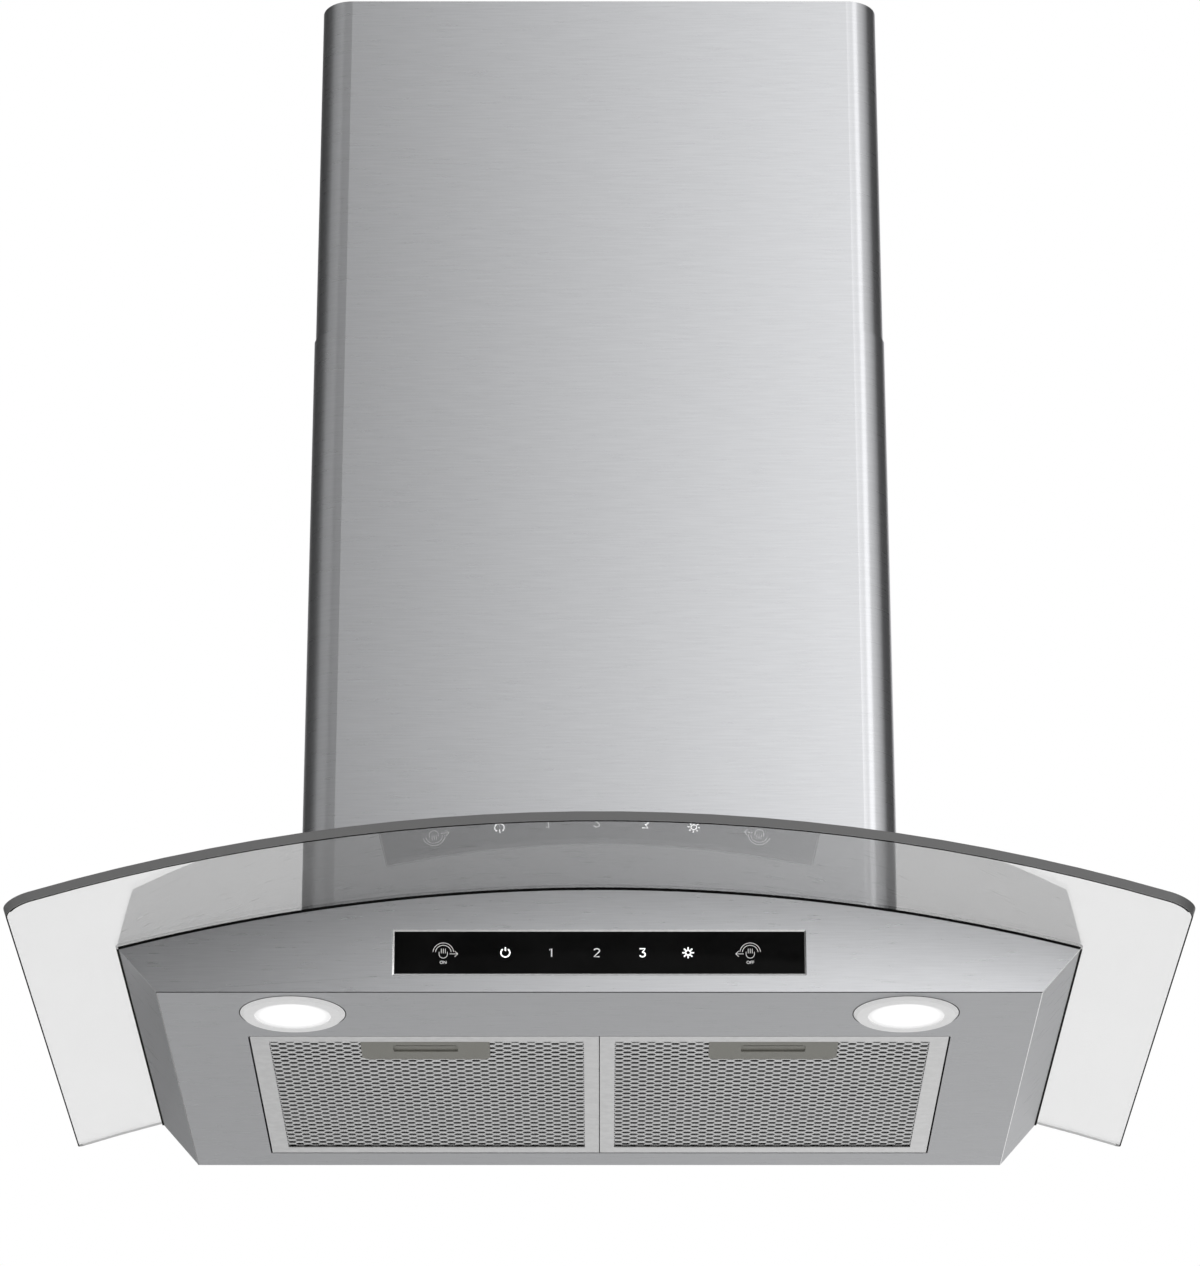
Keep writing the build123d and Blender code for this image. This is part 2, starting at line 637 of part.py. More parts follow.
MOTOR_FACE = SCROLL_Y + HUB_LENGTH / 2 + 2 * SCROLL_WALL
SHAFT_IN_MOTOR = MOTOR_LENGTH / 2
with BuildPart() as motor_shaft:
    with BuildSketch(wheel_plane.offset(HUB_LENGTH)):
        Circle(SHAFT_RADIUS)
    extrude(amount=-(HUB_LENGTH + MOTOR_FACE - SCROLL_Y + SHAFT_IN_MOTOR))
save(motor_shaft, "motor_shaft")

with BuildPart() as impeller_nut:
    with BuildSketch(wheel_plane.offset(HUB_LENGTH / 2)):
        RegularPolygon(2 * SHAFT_RADIUS, 6)
        Circle(SHAFT_RADIUS + SEAT / 4, mode=Mode.SUBTRACT)
    extrude(amount=SHAFT_RADIUS)
save(impeller_nut, "impeller_nut")

# Motor in the rear inlet and the three-armed spider that carries it
motor_plane = Plane((SCROLL_X, MOTOR_FACE, SCROLL_Z), x_dir=(1, 0, 0), z_dir=(0, 1, 0))
with BuildPart() as motor:
    with BuildSketch(motor_plane):
        Circle(MOTOR_RADIUS)
    extrude(amount=MOTOR_LENGTH)
    chamfer(motor.edges().filter_by(GeomType.CIRCLE).sort_by(Axis.Y)[-1], MOTOR_RADIUS / 10)
    with BuildSketch(motor_plane.offset(MOTOR_LENGTH)):
        Circle(MOTOR_RADIUS / 3)
    extrude(amount=MOTOR_RADIUS / 8)
    with BuildSketch(motor_plane):
        Circle(SHAFT_RADIUS + SEAT / 2)
    extrude(amount=SHAFT_IN_MOTOR + SEAT, mode=Mode.SUBTRACT)
save(motor, "motor")

SPIDER_THICKNESS = 3.0
SPIDER_PAD = 9.0
SPIDER_ARMS = 3
spider_y = SCROLL_Y + SCROLL_WIDTH / 2 + INLET_LIP + SEAT
spider_plane = Plane((SCROLL_X, spider_y, SCROLL_Z), x_dir=(1, 0, 0), z_dir=(0, 1, 0))
SPIDER_REACH = INLET_RADIUS + SCROLL_WALL + 2 * SPIDER_THICKNESS
with BuildPart() as motor_spider:
    with BuildSketch(spider_plane):
        Circle(MOTOR_RADIUS + SPIDER_THICKNESS)
        with PolarLocations(SPIDER_REACH / 2, SPIDER_ARMS, start_angle=90):
            Rectangle(SPIDER_REACH, SPIDER_PAD)
        with PolarLocations(SPIDER_REACH, SPIDER_ARMS, start_angle=90):
            Rectangle(SPIDER_PAD, SPIDER_PAD)
        Circle(MOTOR_RADIUS + SEAT, mode=Mode.SUBTRACT)
    extrude(amount=SPIDER_THICKNESS)
    with BuildSketch(spider_plane):
        with PolarLocations(SPIDER_REACH, SPIDER_ARMS, start_angle=90):
            Rectangle(SPIDER_PAD, SPIDER_PAD)
    extrude(amount=-INLET_LIP)
save(motor_spider, "motor_spider")

# Outlet collar with the cross bar, and the two non-return flaps hinged beside the bar
COLLAR_INSIDE = COLLAR_RADIUS - COLLAR_WALL
FLAP_Z = BOX_TOP + FLAP_HEIGHT
BARREL_RADIUS = FLAP_PIN_RADIUS + 0.6
BAR_HALF = FLAP_HINGE_OFFSET - BARREL_RADIUS - SLIDE_GAP
collar_plane = Plane((0, COLLAR_Y, BOX_TOP))
pin_planes = {
    "front": Plane((0, COLLAR_Y - FLAP_HINGE_OFFSET, FLAP_Z), x_dir=(0, 1, 0), z_dir=(1, 0, 0)),
    "back": Plane((0, COLLAR_Y + FLAP_HINGE_OFFSET, FLAP_Z), x_dir=(0, 1, 0), z_dir=(1, 0, 0)),
}
with BuildPart() as outlet_collar:
    with BuildSketch(collar_plane):
        Circle(COLLAR_RADIUS + COLLAR_FLANGE)
    extrude(amount=COLLAR_WALL)
    with BuildSketch(collar_plane):
        Circle(COLLAR_RADIUS)
    extrude(amount=COLLAR_HEIGHT)
    with BuildSketch(collar_plane):
        Circle(COLLAR_INSIDE)
    extrude(amount=COLLAR_HEIGHT, mode=Mode.SUBTRACT)
    with BuildSketch(Plane((0, COLLAR_Y, FLAP_Z - BARREL_RADIUS))):
        Rectangle(2 * COLLAR_INSIDE + COLLAR_WALL, 2 * BAR_HALF)
    extrude(amount=2 * BARREL_RADIUS)
    for pin_plane in pin_planes.values():
        with BuildSketch(pin_plane):
            Circle(FLAP_PIN_RADIUS + SEAT / 2)
        extrude(amount=2 * COLLAR_RADIUS, both=True, mode=Mode.SUBTRACT)
save(outlet_collar, "outlet_collar")

FLAP_RADIUS = COLLAR_INSIDE - FLAP_EDGE_GAP
FLAP_CHORD = sqrt(FLAP_RADIUS**2 - FLAP_HINGE_OFFSET**2)
PIN_HALF = sqrt(COLLAR_INSIDE**2 - FLAP_HINGE_OFFSET**2) + COLLAR_WALL * 0.7
for flap_name, way in {"front": -1, "back": 1}.items():
    with BuildPart() as flap:
        with BuildSketch(Plane((0, COLLAR_Y, FLAP_Z - FLAP_THICKNESS / 2))):
            Circle(FLAP_RADIUS)
            with Locations((0, way * (FLAP_HINGE_OFFSET - COLLAR_RADIUS))):
                Rectangle(2 * COLLAR_RADIUS, 2 * COLLAR_RADIUS, mode=Mode.SUBTRACT)
        extrude(amount=FLAP_THICKNESS)
        with BuildSketch(pin_planes[flap_name]):
            Circle(BARREL_RADIUS)
        extrude(amount=FLAP_CHORD - FLAP_EDGE_GAP, both=True)
        with BuildSketch(pin_planes[flap_name]):
            Circle(FLAP_PIN_RADIUS)
        extrude(amount=PIN_HALF, both=True)
    save(flap, f"flap_{flap_name}")

# Power box on the right wall of the blower box, with its board, lid and cord gland
POWER_WALL = 2.0
POWER_MIDDLE = (SCROLL_Y, level(POWER_BOX_LEVEL + POWER_BOX_HEIGHT / 2))
power_plane = Plane.YZ.offset(BOX_WIDTH / 2)
gland_plane = Plane(
    (
        BOX_WIDTH / 2 + POWER_BOX_THICKNESS / 2,
        SCROLL_Y + POWER_BOX_DEPTH / 4,
        level(POWER_BOX_LEVEL + POWER_BOX_HEIGHT),
    )
)
with BuildPart() as power_box:
    with BuildSketch(power_plane):
        with Locations(POWER_MIDDLE):
            Rectangle(POWER_BOX_DEPTH, POWER_BOX_HEIGHT)
    extrude(amount=POWER_BOX_THICKNESS)
    with BuildSketch(power_plane.offset(POWER_WALL)):
        with Locations(POWER_MIDDLE):
            Rectangle(POWER_BOX_DEPTH - 2 * POWER_WALL, POWER_BOX_HEIGHT - 2 * POWER_WALL)
    extrude(amount=POWER_BOX_THICKNESS, mode=Mode.SUBTRACT)
    with BuildSketch(gland_plane):
        Circle(CORD_RADIUS)
    extrude(amount=-POWER_WALL, mode=Mode.SUBTRACT)
save(power_box, "power_box")

with BuildPart() as power_lid:
    with BuildSketch(power_plane.offset(POWER_BOX_THICKNESS)):
        with Locations(POWER_MIDDLE):
            RectangleRounded(POWER_BOX_DEPTH, POWER_BOX_HEIGHT, POWER_WALL)
    extrude(amount=POWER_WALL)
save(power_lid, "power_lid")

PART_HEIGHT = POWER_BOX_THICKNESS / 2
with BuildPart() as power_board:
    board_inset = 4 * POWER_WALL
    with BuildSketch(power_plane.offset(POWER_WALL + SEAT)):
        with Locations(POWER_MIDDLE):
            Rectangle(POWER_BOX_DEPTH - board_inset, POWER_BOX_HEIGHT - board_inset)
    extrude(amount=BOARD_THICKNESS)
    with BuildSketch(power_plane.offset(POWER_WALL + SEAT + BOARD_THICKNESS)):
        with Locations((POWER_MIDDLE[0], POWER_MIDDLE[1] + POWER_BOX_HEIGHT / 4)):
            Rectangle(POWER_BOX_DEPTH / 2, POWER_BOX_HEIGHT / 4)
        with Locations((POWER_MIDDLE[0], POWER_MIDDLE[1] - POWER_BOX_HEIGHT / 5)):
            Rectangle(POWER_BOX_DEPTH / 3, POWER_BOX_HEIGHT / 3)
    extrude(amount=PART_HEIGHT)
save(power_board, "power_board")

with BuildPart() as cable_gland:
    with BuildSketch(gland_plane):
        RegularPolygon(1.2 * GLAND_RADIUS, 6)
    extrude(amount=GLAND_RADIUS)
    with BuildSketch(gland_plane.offset(GLAND_RADIUS)):
        Circle(GLAND_RADIUS)
    extrude(amount=GLAND_RADIUS)
    with BuildSketch(gland_plane):
        Circle(CORD_RADIUS)
    extrude(amount=2 * GLAND_RADIUS, mode=Mode.SUBTRACT)
save(cable_gland, "cable_gland")


# Chimney: the lower sleeve stands on the glass and the upper one slides inside it
def chimney_section(inset):
    """Section of a chimney sleeve, moved in from the outer one by the given inset."""
    front = -(CHIMNEY_DEPTH - inset)
    rear = -(WALL_GAP + inset)
    width = CHIMNEY_WIDTH - 2 * inset
    with BuildSketch() as section:
        with Locations((0, (front + rear) / 2)):
            Rectangle(width, rear - front)
        fillet(section.vertices().group_by(Axis.Y)[0], CHIMNEY_CORNER - inset)
        offset(amount=-CHIMNEY_SHEET, mode=Mode.SUBTRACT)
        with Locations((0, rear)):
            Rectangle(width - 2 * CHIMNEY_RETURN, 4 * CHIMNEY_SHEET, mode=Mode.SUBTRACT)
    return section.sketch


FOOT_MIDDLE = level(FOOT_LEVEL + FOOT_HEIGHT / 2)
with BuildPart() as lower_chimney:
    with BuildSketch(Plane.XY.offset(UNDERSIDE)):
        add(chimney_section(0))
    extrude(amount=LOWER_CHIMNEY_TOP)
    with BuildSketch(Plane.XZ):
        with Locations((0, ARCH_CENTRE)):
            Circle(GLASS_RADIUS + SEAT)
    extrude(amount=CHIMNEY_DEPTH, mode=Mode.SUBTRACT)
    with BuildSketch(Plane.YZ):
        with Locations((SCROLL_Y, FOOT_MIDDLE)):
            Circle(SCREW_RADIUS + SEAT)
    extrude(amount=CHIMNEY_WIDTH, both=True, mode=Mode.SUBTRACT)
save(lower_chimney, "lower_chimney")

UPPER_INSET = CHIMNEY_SHEET + CHIMNEY_GAP
UPPER_BOTTOM = level(CHIMNEY_TOP - UPPER_CHIMNEY_LENGTH)
BRACKET_TOP = level(CHIMNEY_TOP - BRACKET_DROP)
BRACKET_MIDDLE = BRACKET_TOP - BRACKET_HEIGHT / 2
BRACKET_REAR = -(WALL_GAP + UPPER_INSET + CHIMNEY_SHEET + SEAT)
BRACKET_HALF = CHIMNEY_WIDTH / 2 - UPPER_INSET - CHIMNEY_SHEET
BRACKET_SCREW_Y = BRACKET_REAR - BRACKET_ARM * 0.7
with BuildPart() as upper_chimney:
    with BuildSketch(Plane.XY.offset(UPPER_BOTTOM)):
        add(chimney_section(UPPER_INSET))
    extrude(amount=UPPER_CHIMNEY_LENGTH)
    with BuildSketch(Plane.YZ):
        for vent in range(VENT_COUNT):
            with Locations((-CHIMNEY_DEPTH / 2, UPPER_BOTTOM + (vent + 3) * VENT_PITCH)):
                Rectangle(VENT_LENGTH, VENT_HEIGHT)
        with Locations((BRACKET_SCREW_Y, BRACKET_MIDDLE)):
            Circle(SCREW_RADIUS + SEAT)
    extrude(amount=CHIMNEY_WIDTH, both=True, mode=Mode.SUBTRACT)
save(upper_chimney, "upper_chimney")

# Feet between the blower box and the lower chimney, and their screws
for side_name, side in SIDES.items():
    foot_inner = BOX_WIDTH / 2
    foot_outer = CHIMNEY_WIDTH / 2 - CHIMNEY_SHEET
    foot_middle_x = side * (foot_inner + foot_outer) / 2
    foot_plane = Plane((0, SCROLL_Y, 0), x_dir=(1, 0, 0), z_dir=(0, -1, 0))
    with BuildPart() as chimney_foot:
        with BuildSketch(foot_plane):
            with Locations((foot_middle_x, FOOT_MIDDLE)):
                Rectangle(foot_outer - foot_inner, FOOT_HEIGHT)
            with Locations((foot_middle_x, FOOT_MIDDLE + BRACKET_SHEET)):
                Rectangle(foot_outer - foot_inner - 2 * BRACKET_SHEET, FOOT_HEIGHT, mode=Mode.SUBTRACT)
        extrude(amount=FOOT_DEPTH / 2, both=True)
        with BuildSketch(Plane.YZ.offset(side * (foot_outer - BRACKET_SHEET))):
            with Locations((SCROLL_Y, FOOT_MIDDLE)):
                Circle(SCREW_RADIUS + SEAT)
        extrude(amount=side * BRACKET_SHEET, mode=Mode.SUBTRACT)
    save(chimney_foot, f"chimney_foot_{side_name}")


def side_screws(y, z, face_x, length):
    """Two pan-head screws driven inwards through the left and right faces at x = face_x."""
    with BuildPart() as screws:
        for side in SIDES.values():
            with BuildSketch(Plane((side * face_x, y, z), x_dir=(0, 1, 0), z_dir=(side, 0, 0))):
                RegularPolygon(SCREW_HEAD_RADIUS, SCREW_FACETS)
            extrude(amount=SCREW_HEAD_HEIGHT, taper=20)
            with BuildSketch(Plane((side * face_x, y, z), x_dir=(0, 1, 0), z_dir=(side, 0, 0))):
                RegularPolygon(SCREW_RADIUS, SCREW_FACETS)
            extrude(amount=-length)
    return screws


save(side_screws(SCROLL_Y, FOOT_MIDDLE, CHIMNEY_WIDTH / 2, SCREW_LENGTH), "foot_screws")
save(
    side_screws(BRACKET_SCREW_Y, BRACKET_MIDDLE, CHIMNEY_WIDTH / 2 - UPPER_INSET, SCREW_LENGTH),
    "bracket_screws",
)

# Wall bracket screwed inside the top of the upper chimney
with BuildPart() as chimney_bracket:
    with BuildSketch(Plane.XY.offset(BRACKET_TOP)):
        with Locations((0, BRACKET_REAR - BRACKET_ARM / 2)):
            Rectangle(2 * BRACKET_HALF, BRACKET_ARM)
        with Locations((0, BRACKET_REAR - BRACKET_SHEET - BRACKET_ARM / 2)):
            Rectangle(2 * (BRACKET_HALF - BRACKET_SHEET), BRACKET_ARM, mode=Mode.SUBTRACT)
    extrude(amount=-BRACKET_HEIGHT)
    with BuildSketch(Plane.XZ):
        with Locations(*[(side * BRACKET_SLOT_SPACING / 2, BRACKET_MIDDLE) for side in SIDES.values()]):
            Circle(FIX_HOLE_RADIUS)
    extrude(amount=BRACKET_ARM, mode=Mode.SUBTRACT)
    with BuildSketch(Plane.YZ):
        with Locations((BRACKET_SCREW_Y, BRACKET_MIDDLE)):
            Circle(SCREW_RADIUS + SEAT)
    extrude(amount=CHIMNEY_WIDTH, both=True, mode=Mode.SUBTRACT)
save(chimney_bracket, "chimney_bracket")

# Filters: channel frame, expanded mesh, core, handle, latch and latch spring on each side
MESH_EDGE = 5.0
MESH_LEVEL = FRAME_SHEET + SEAT
CORE_LEVEL = MESH_LEVEL + MESH_THICKNESS + SEAT
CORE_HEIGHT = FILTER_HEIGHT - FRAME_SHEET - SEAT - CORE_LEVEL
WINDOW_FRONT = FILTER_FRONT - FRAME_FRONT_BORDER
WINDOW_REAR = FILTER_REAR + FRAME_REAR_BORDER
WINDOW_WIDTH = FILTER_WIDTH - FRAME_OUTER_BORDER - FRAME_INNER_BORDER
WINDOW_DEPTH = WINDOW_FRONT - WINDOW_REAR
WINDOW_Y = -(WINDOW_FRONT + WINDOW_REAR) / 2
HANDLE_FRONT = WINDOW_FRONT - SEAT
HANDLE_REAR = HANDLE_FRONT - HANDLE_DEPTH
HANDLE_GAP = 1.0
LATCH_LEVEL = FRAME_SHEET + SLIDE_GAP
LATCH_TOP = LATCH_LEVEL + LATCH_THICKNESS
TONGUE_SHOULDER = HANDLE_FRONT - 2.0
STOP_THICKNESS = 1.5
STOP_FRONT = HANDLE_REAR + STOP_THICKNESS
LATCH_REAR = STOP_FRONT + LATCH_TRAVEL + HANDLE_GAP
RAIL_WIDTH = 3.0
RAIL_LIP = 1.5
RAIL_TOP = LATCH_TOP + SLIDE_GAP
LIP_GAP = 2.2
LIP_THICKNESS = 1.5


def filter_frame(middle_x):
    """Folded channel frame with the tongue slot in front and two hanging tabs behind."""
    filter_middle = (middle_x, FILTER_MIDDLE_Y)
    with BuildPart() as frame:
        with BuildSketch(Plane.XY.offset(UNDERSIDE)):
            with Locations(filter_middle):
                Rectangle(FILTER_WIDTH, FILTER_DEPTH)
        extrude(amount=FILTER_HEIGHT)
        rear_edge = frame.edges().filter_by(Axis.X).group_by(Axis.Z)[0].sort_by(Axis.Y)[-1]
        fillet(rear_edge, FRAME_EDGE_ROUND)
        with BuildSketch(Plane.XY.offset(level(FRAME_SHEET))):
            with Locations(filter_middle):
                Rectangle(FILTER_WIDTH - 2 * FRAME_SHEET, FILTER_DEPTH - 2 * FRAME_SHEET)
        extrude(amount=FILTER_HEIGHT - 2 * FRAME_SHEET, mode=Mode.SUBTRACT)
        with BuildSketch(Plane.XY.offset(UNDERSIDE)):
            with Locations((window_x(middle_x), WINDOW_Y)):
                Rectangle(WINDOW_WIDTH, WINDOW_DEPTH)
        extrude(amount=FILTER_HEIGHT, mode=Mode.SUBTRACT)
        with BuildSketch(Plane.XZ.offset(FILTER_FRONT)):
            with Locations((middle_x, level((FRAME_SHEET + RAIL_TOP) / 2))):
                Rectangle(TONGUE_WIDTH + 2 * SLIDE_GAP, RAIL_TOP - FRAME_SHEET)
        extrude(amount=-FRAME_FRONT_BORDER, mode=Mode.SUBTRACT)
        with BuildSketch(Plane.XY.offset(level(SHEET + SLIDE_GAP))):
            for way in (-1, 1):
                with Locations((middle_x + way * TAB_SPACING / 2, -FILTER_REAR + (TAB_REACH - FRAME_SHEET) / 2)):
                    Rectangle(TAB_WIDTH, TAB_REACH + FRAME_SHEET)
        extrude(amount=FRAME_SHEET)
    return frame


def window_x(middle_x):
    """Middle of the mesh window, whose outer border is wider than its inner one."""
    side = 1 if middle_x > 0 else -1
    return middle_x - side * (FRAME_OUTER_BORDER - FRAME_INNER_BORDER) / 2


def handle_notch(middle_x):
    """Place of the handle, cut out of the mesh and the core from their front edge back."""
    notch_front = WINDOW_FRONT + MESH_EDGE
    notch_rear = HANDLE_REAR - HANDLE_GAP
    with BuildSketch() as notch:
        with Locations((middle_x, -(notch_front + notch_rear) / 2)):
            Rectangle(HANDLE_WIDTH + 2 * HANDLE_GAP, notch_front - notch_rear)
    return notch.sketch


def filter_mesh(middle_x):
    """Sheet of diamond openings in rows that step over by half an opening."""
    pitch_x = WINDOW_WIDTH / MESH_COLUMNS
    pitch_y = WINDOW_DEPTH / MESH_ROWS
    half_x = (pitch_x - MESH_STRAND) / 2
    half_y = (pitch_y - MESH_STRAND) / 2
    rows = [
        (column * pitch_x - (MESH_COLUMNS - 1) / 2 * pitch_x, row * pitch_y - (MESH_ROWS - 1) / 2 * pitch_y)
        for column in range(MESH_COLUMNS)
        for row in range(MESH_ROWS)
    ]
    steps = [
        (column * pitch_x - (MESH_COLUMNS - 2) / 2 * pitch_x, row * pitch_y - (MESH_ROWS - 2) / 2 * pitch_y)
        for column in range(MESH_COLUMNS - 1)
        for row in range(MESH_ROWS - 1)
    ]
    handle_half = HANDLE_WIDTH / 2 + HANDLE_GAP + half_x + MESH_STRAND / 2
    handle_edge = -(HANDLE_REAR - HANDLE_GAP) + half_y + MESH_STRAND / 2
    window = (window_x(middle_x), WINDOW_Y)
    openings = [
        (window[0] + x, window[1] + y)
        for x, y in rows + steps
        if abs(window[0] + x - middle_x) > handle_half or window[1] + y > handle_edge
    ]
    with BuildPart() as mesh:
        with BuildSketch(Plane.XY.offset(level(MESH_LEVEL))):
            with Locations(window):
                Rectangle(WINDOW_WIDTH + 2 * MESH_EDGE, WINDOW_DEPTH + 2 * MESH_EDGE)
            add(handle_notch(middle_x), mode=Mode.SUBTRACT)
            with Locations(*openings):
                Polygon((half_x, 0), (0, half_y), (-half_x, 0), (0, -half_y), mode=Mode.SUBTRACT)
        extrude(amount=MESH_THICKNESS)
    return mesh


def filter_core(middle_x):
    """Pad of stacked mesh layers behind the front mesh."""
    with BuildPart() as core:
        with BuildSketch(Plane.XY.offset(level(CORE_LEVEL))):
            with Locations((window_x(middle_x), WINDOW_Y)):
                Rectangle(WINDOW_WIDTH + 2 * MESH_EDGE, WINDOW_DEPTH + 2 * MESH_EDGE)
            add(handle_notch(middle_x), mode=Mode.SUBTRACT)
        extrude(amount=CORE_HEIGHT)
    return core


def filter_handle(middle_x):
    """Handle plate with the thumb slot, ears on the frame, rails for the latch and the spring stop."""
    slot_front = HANDLE_FRONT - HANDLE_SLOT_INSET
    ear_inner = LATCH_WIDTH / 2 + SLIDE_GAP + RAIL_WIDTH + HANDLE_GAP
    ear_width = HANDLE_WIDTH / 2 - ear_inner
    ear_depth = FRAME_FRONT_BORDER - FRAME_SHEET
    rail_middle = LATCH_WIDTH / 2 + SLIDE_GAP + RAIL_WIDTH / 2
    rail_y = -(TONGUE_SHOULDER + LATCH_REAR) / 2
    rail_length = TONGUE_SHOULDER - LATCH_REAR
    with BuildPart() as handle:
        with BuildSketch(Plane.XY.offset(UNDERSIDE)) as plate:
            with Locations((middle_x, -(HANDLE_FRONT + HANDLE_REAR) / 2)):
                Rectangle(HANDLE_WIDTH, HANDLE_DEPTH)
            fillet(plate.vertices().group_by(Axis.Y)[-1], HANDLE_CORNER)
            with Locations((middle_x, -slot_front + HANDLE_SLOT_DEPTH / 2)):
                RectangleRounded(HANDLE_SLOT_WIDTH, HANDLE_SLOT_DEPTH, SLOT_CORNER, mode=Mode.SUBTRACT)
        extrude(amount=FRAME_SHEET)
        with BuildSketch(Plane.XY.offset(level(FRAME_SHEET))):
            for way in (-1, 1):
                with Locations((middle_x + way * (ear_inner + ear_width / 2), -HANDLE_FRONT)):
                    Rectangle(ear_width, 2 * ear_depth - 2 * SEAT)
        extrude(amount=MESH_THICKNESS)
        with BuildSketch(Plane.XY.offset(level(FRAME_SHEET))):
            for way in (-1, 1):
                with Locations((middle_x + way * rail_middle, rail_y)):
                    Rectangle(RAIL_WIDTH, rail_length)
            with Locations((middle_x, -(STOP_FRONT + HANDLE_REAR) / 2)):
                Rectangle(SPRING_SPAN + 2 * STOP_THICKNESS, STOP_THICKNESS)
        extrude(amount=RAIL_TOP - FRAME_SHEET)
        with BuildSketch(Plane.XY.offset(level(RAIL_TOP))):
            for way in (-1, 1):
                with Locations((middle_x + way * (rail_middle - RAIL_LIP / 2), rail_y)):
                    Rectangle(RAIL_WIDTH + RAIL_LIP, rail_length)
        extrude(amount=FRAME_SHEET)
    return handle


def filter_latch(middle_x):
    """Sliding latch: tongue over the front edge of the opening and a thumb lip in the handle slot."""
    tongue_tip = FILTER_FRONT + LATCH_REACH
    lip_front = HANDLE_FRONT - HANDLE_SLOT_INSET - LIP_GAP
    with BuildPart() as latch:
        with BuildSketch(Plane.XY.offset(level(LATCH_LEVEL))):
            with Locations((middle_x, -(tongue_tip + LATCH_REAR) / 2)):
                Rectangle(TONGUE_WIDTH, tongue_tip - LATCH_REAR)
            with Locations((middle_x, -(TONGUE_SHOULDER + LATCH_REAR) / 2)):
                Rectangle(LATCH_WIDTH, TONGUE_SHOULDER - LATCH_REAR)
        extrude(amount=LATCH_THICKNESS)
        with BuildSketch(Plane.XY.offset(level(LATCH_LEVEL))):
            with Locations((middle_x, -lip_front + LIP_THICKNESS / 2)):
                Rectangle(HANDLE_SLOT_WIDTH - 2 * LIP_THICKNESS, LIP_THICKNESS)
        extrude(amount=-(LATCH_LEVEL - SEAT))
    return latch


def latch_spring(middle_x):
    """Bowed leaf between the rear edge of the latch and the stop on the handle."""
    crown = LATCH_REAR - SEAT
    foot = STOP_FRONT + SEAT
    half = SPRING_SPAN / 2
    with BuildPart() as spring:
        with BuildSketch(Plane.XY.offset(level(LATCH_LEVEL))):
            with BuildLine():
                ThreePointArc((middle_x - half, -foot), (middle_x, -crown), (middle_x + half, -foot))
                Line((middle_x + half, -foot), (middle_x + half - SPRING_SHEET, -foot))
                ThreePointArc(
                    (middle_x + half - SPRING_SHEET, -foot),
                    (middle_x, -crown + SPRING_SHEET),
                    (middle_x - half + SPRING_SHEET, -foot),
                )
                Line((middle_x - half + SPRING_SHEET, -foot), (middle_x - half, -foot))
            make_face()
        extrude(amount=LATCH_THICKNESS)
    return spring


for side_name, side in SIDES.items():
    filter_x = side * (FILTER_MIDDLE_GAP + FILTER_WIDTH) / 2
    save(filter_frame(filter_x), f"filter_{side_name}_frame")
    save(filter_mesh(filter_x), f"filter_{side_name}_mesh")
    save(filter_core(filter_x), f"filter_{side_name}_core")
    save(filter_handle(filter_x), f"filter_{side_name}_handle")
    save(filter_latch(filter_x), f"latch_{side_name}")
    save(latch_spring(filter_x), f"latch_{side_name}_spring")
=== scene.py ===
"""Looks of the wall mount range hood: finishes, filter mesh, lit marks, studio and camera. In metres."""

from math import asin, cos, pi, radians, sin

import bpy
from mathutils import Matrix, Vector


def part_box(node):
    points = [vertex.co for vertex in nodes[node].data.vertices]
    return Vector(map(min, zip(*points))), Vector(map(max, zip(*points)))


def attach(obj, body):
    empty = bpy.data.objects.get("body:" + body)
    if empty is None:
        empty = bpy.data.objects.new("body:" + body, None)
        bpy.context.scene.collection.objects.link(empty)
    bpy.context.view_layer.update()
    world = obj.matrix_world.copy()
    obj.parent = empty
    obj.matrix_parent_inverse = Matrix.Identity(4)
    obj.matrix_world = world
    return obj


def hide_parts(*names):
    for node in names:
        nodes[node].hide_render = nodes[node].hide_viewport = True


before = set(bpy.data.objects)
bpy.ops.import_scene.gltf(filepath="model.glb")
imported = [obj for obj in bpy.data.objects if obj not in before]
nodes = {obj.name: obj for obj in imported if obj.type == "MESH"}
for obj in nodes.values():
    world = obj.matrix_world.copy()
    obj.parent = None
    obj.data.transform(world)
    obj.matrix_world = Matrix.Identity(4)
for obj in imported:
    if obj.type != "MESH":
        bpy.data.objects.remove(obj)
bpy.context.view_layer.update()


# Node helpers
def new_material(name):
    """Material with one principled shader wired to its output."""
    material = bpy.data.materials.new(name)
    material.use_nodes = True
    tree = material.node_tree
    tree.nodes.clear()
    shader = tree.nodes.new("ShaderNodeBsdfPrincipled")
    output = tree.nodes.new("ShaderNodeOutputMaterial")
    tree.links.new(shader.outputs["BSDF"], output.inputs["Surface"])
    return material, tree, shader


def noise(tree, per_metre, detail=3.0):
    """Noise factor in part coordinates, with the given counts per metre along X, Y and Z."""
    place = tree.nodes.new("ShaderNodeTexCoord")
    stretch = tree.nodes.new("ShaderNodeVectorMath")
    stretch.operation = "MULTIPLY"
    stretch.inputs[1].default_value = per_metre
    texture = tree.nodes.new("ShaderNodeTexNoise")
    texture.inputs["Scale"].default_value = 1.0
    texture.inputs["Detail"].default_value = detail
    tree.links.new(place.outputs["Object"], stretch.inputs[0])
    tree.links.new(stretch.outputs["Vector"], texture.inputs["Vector"])
    return texture.outputs["Fac"]


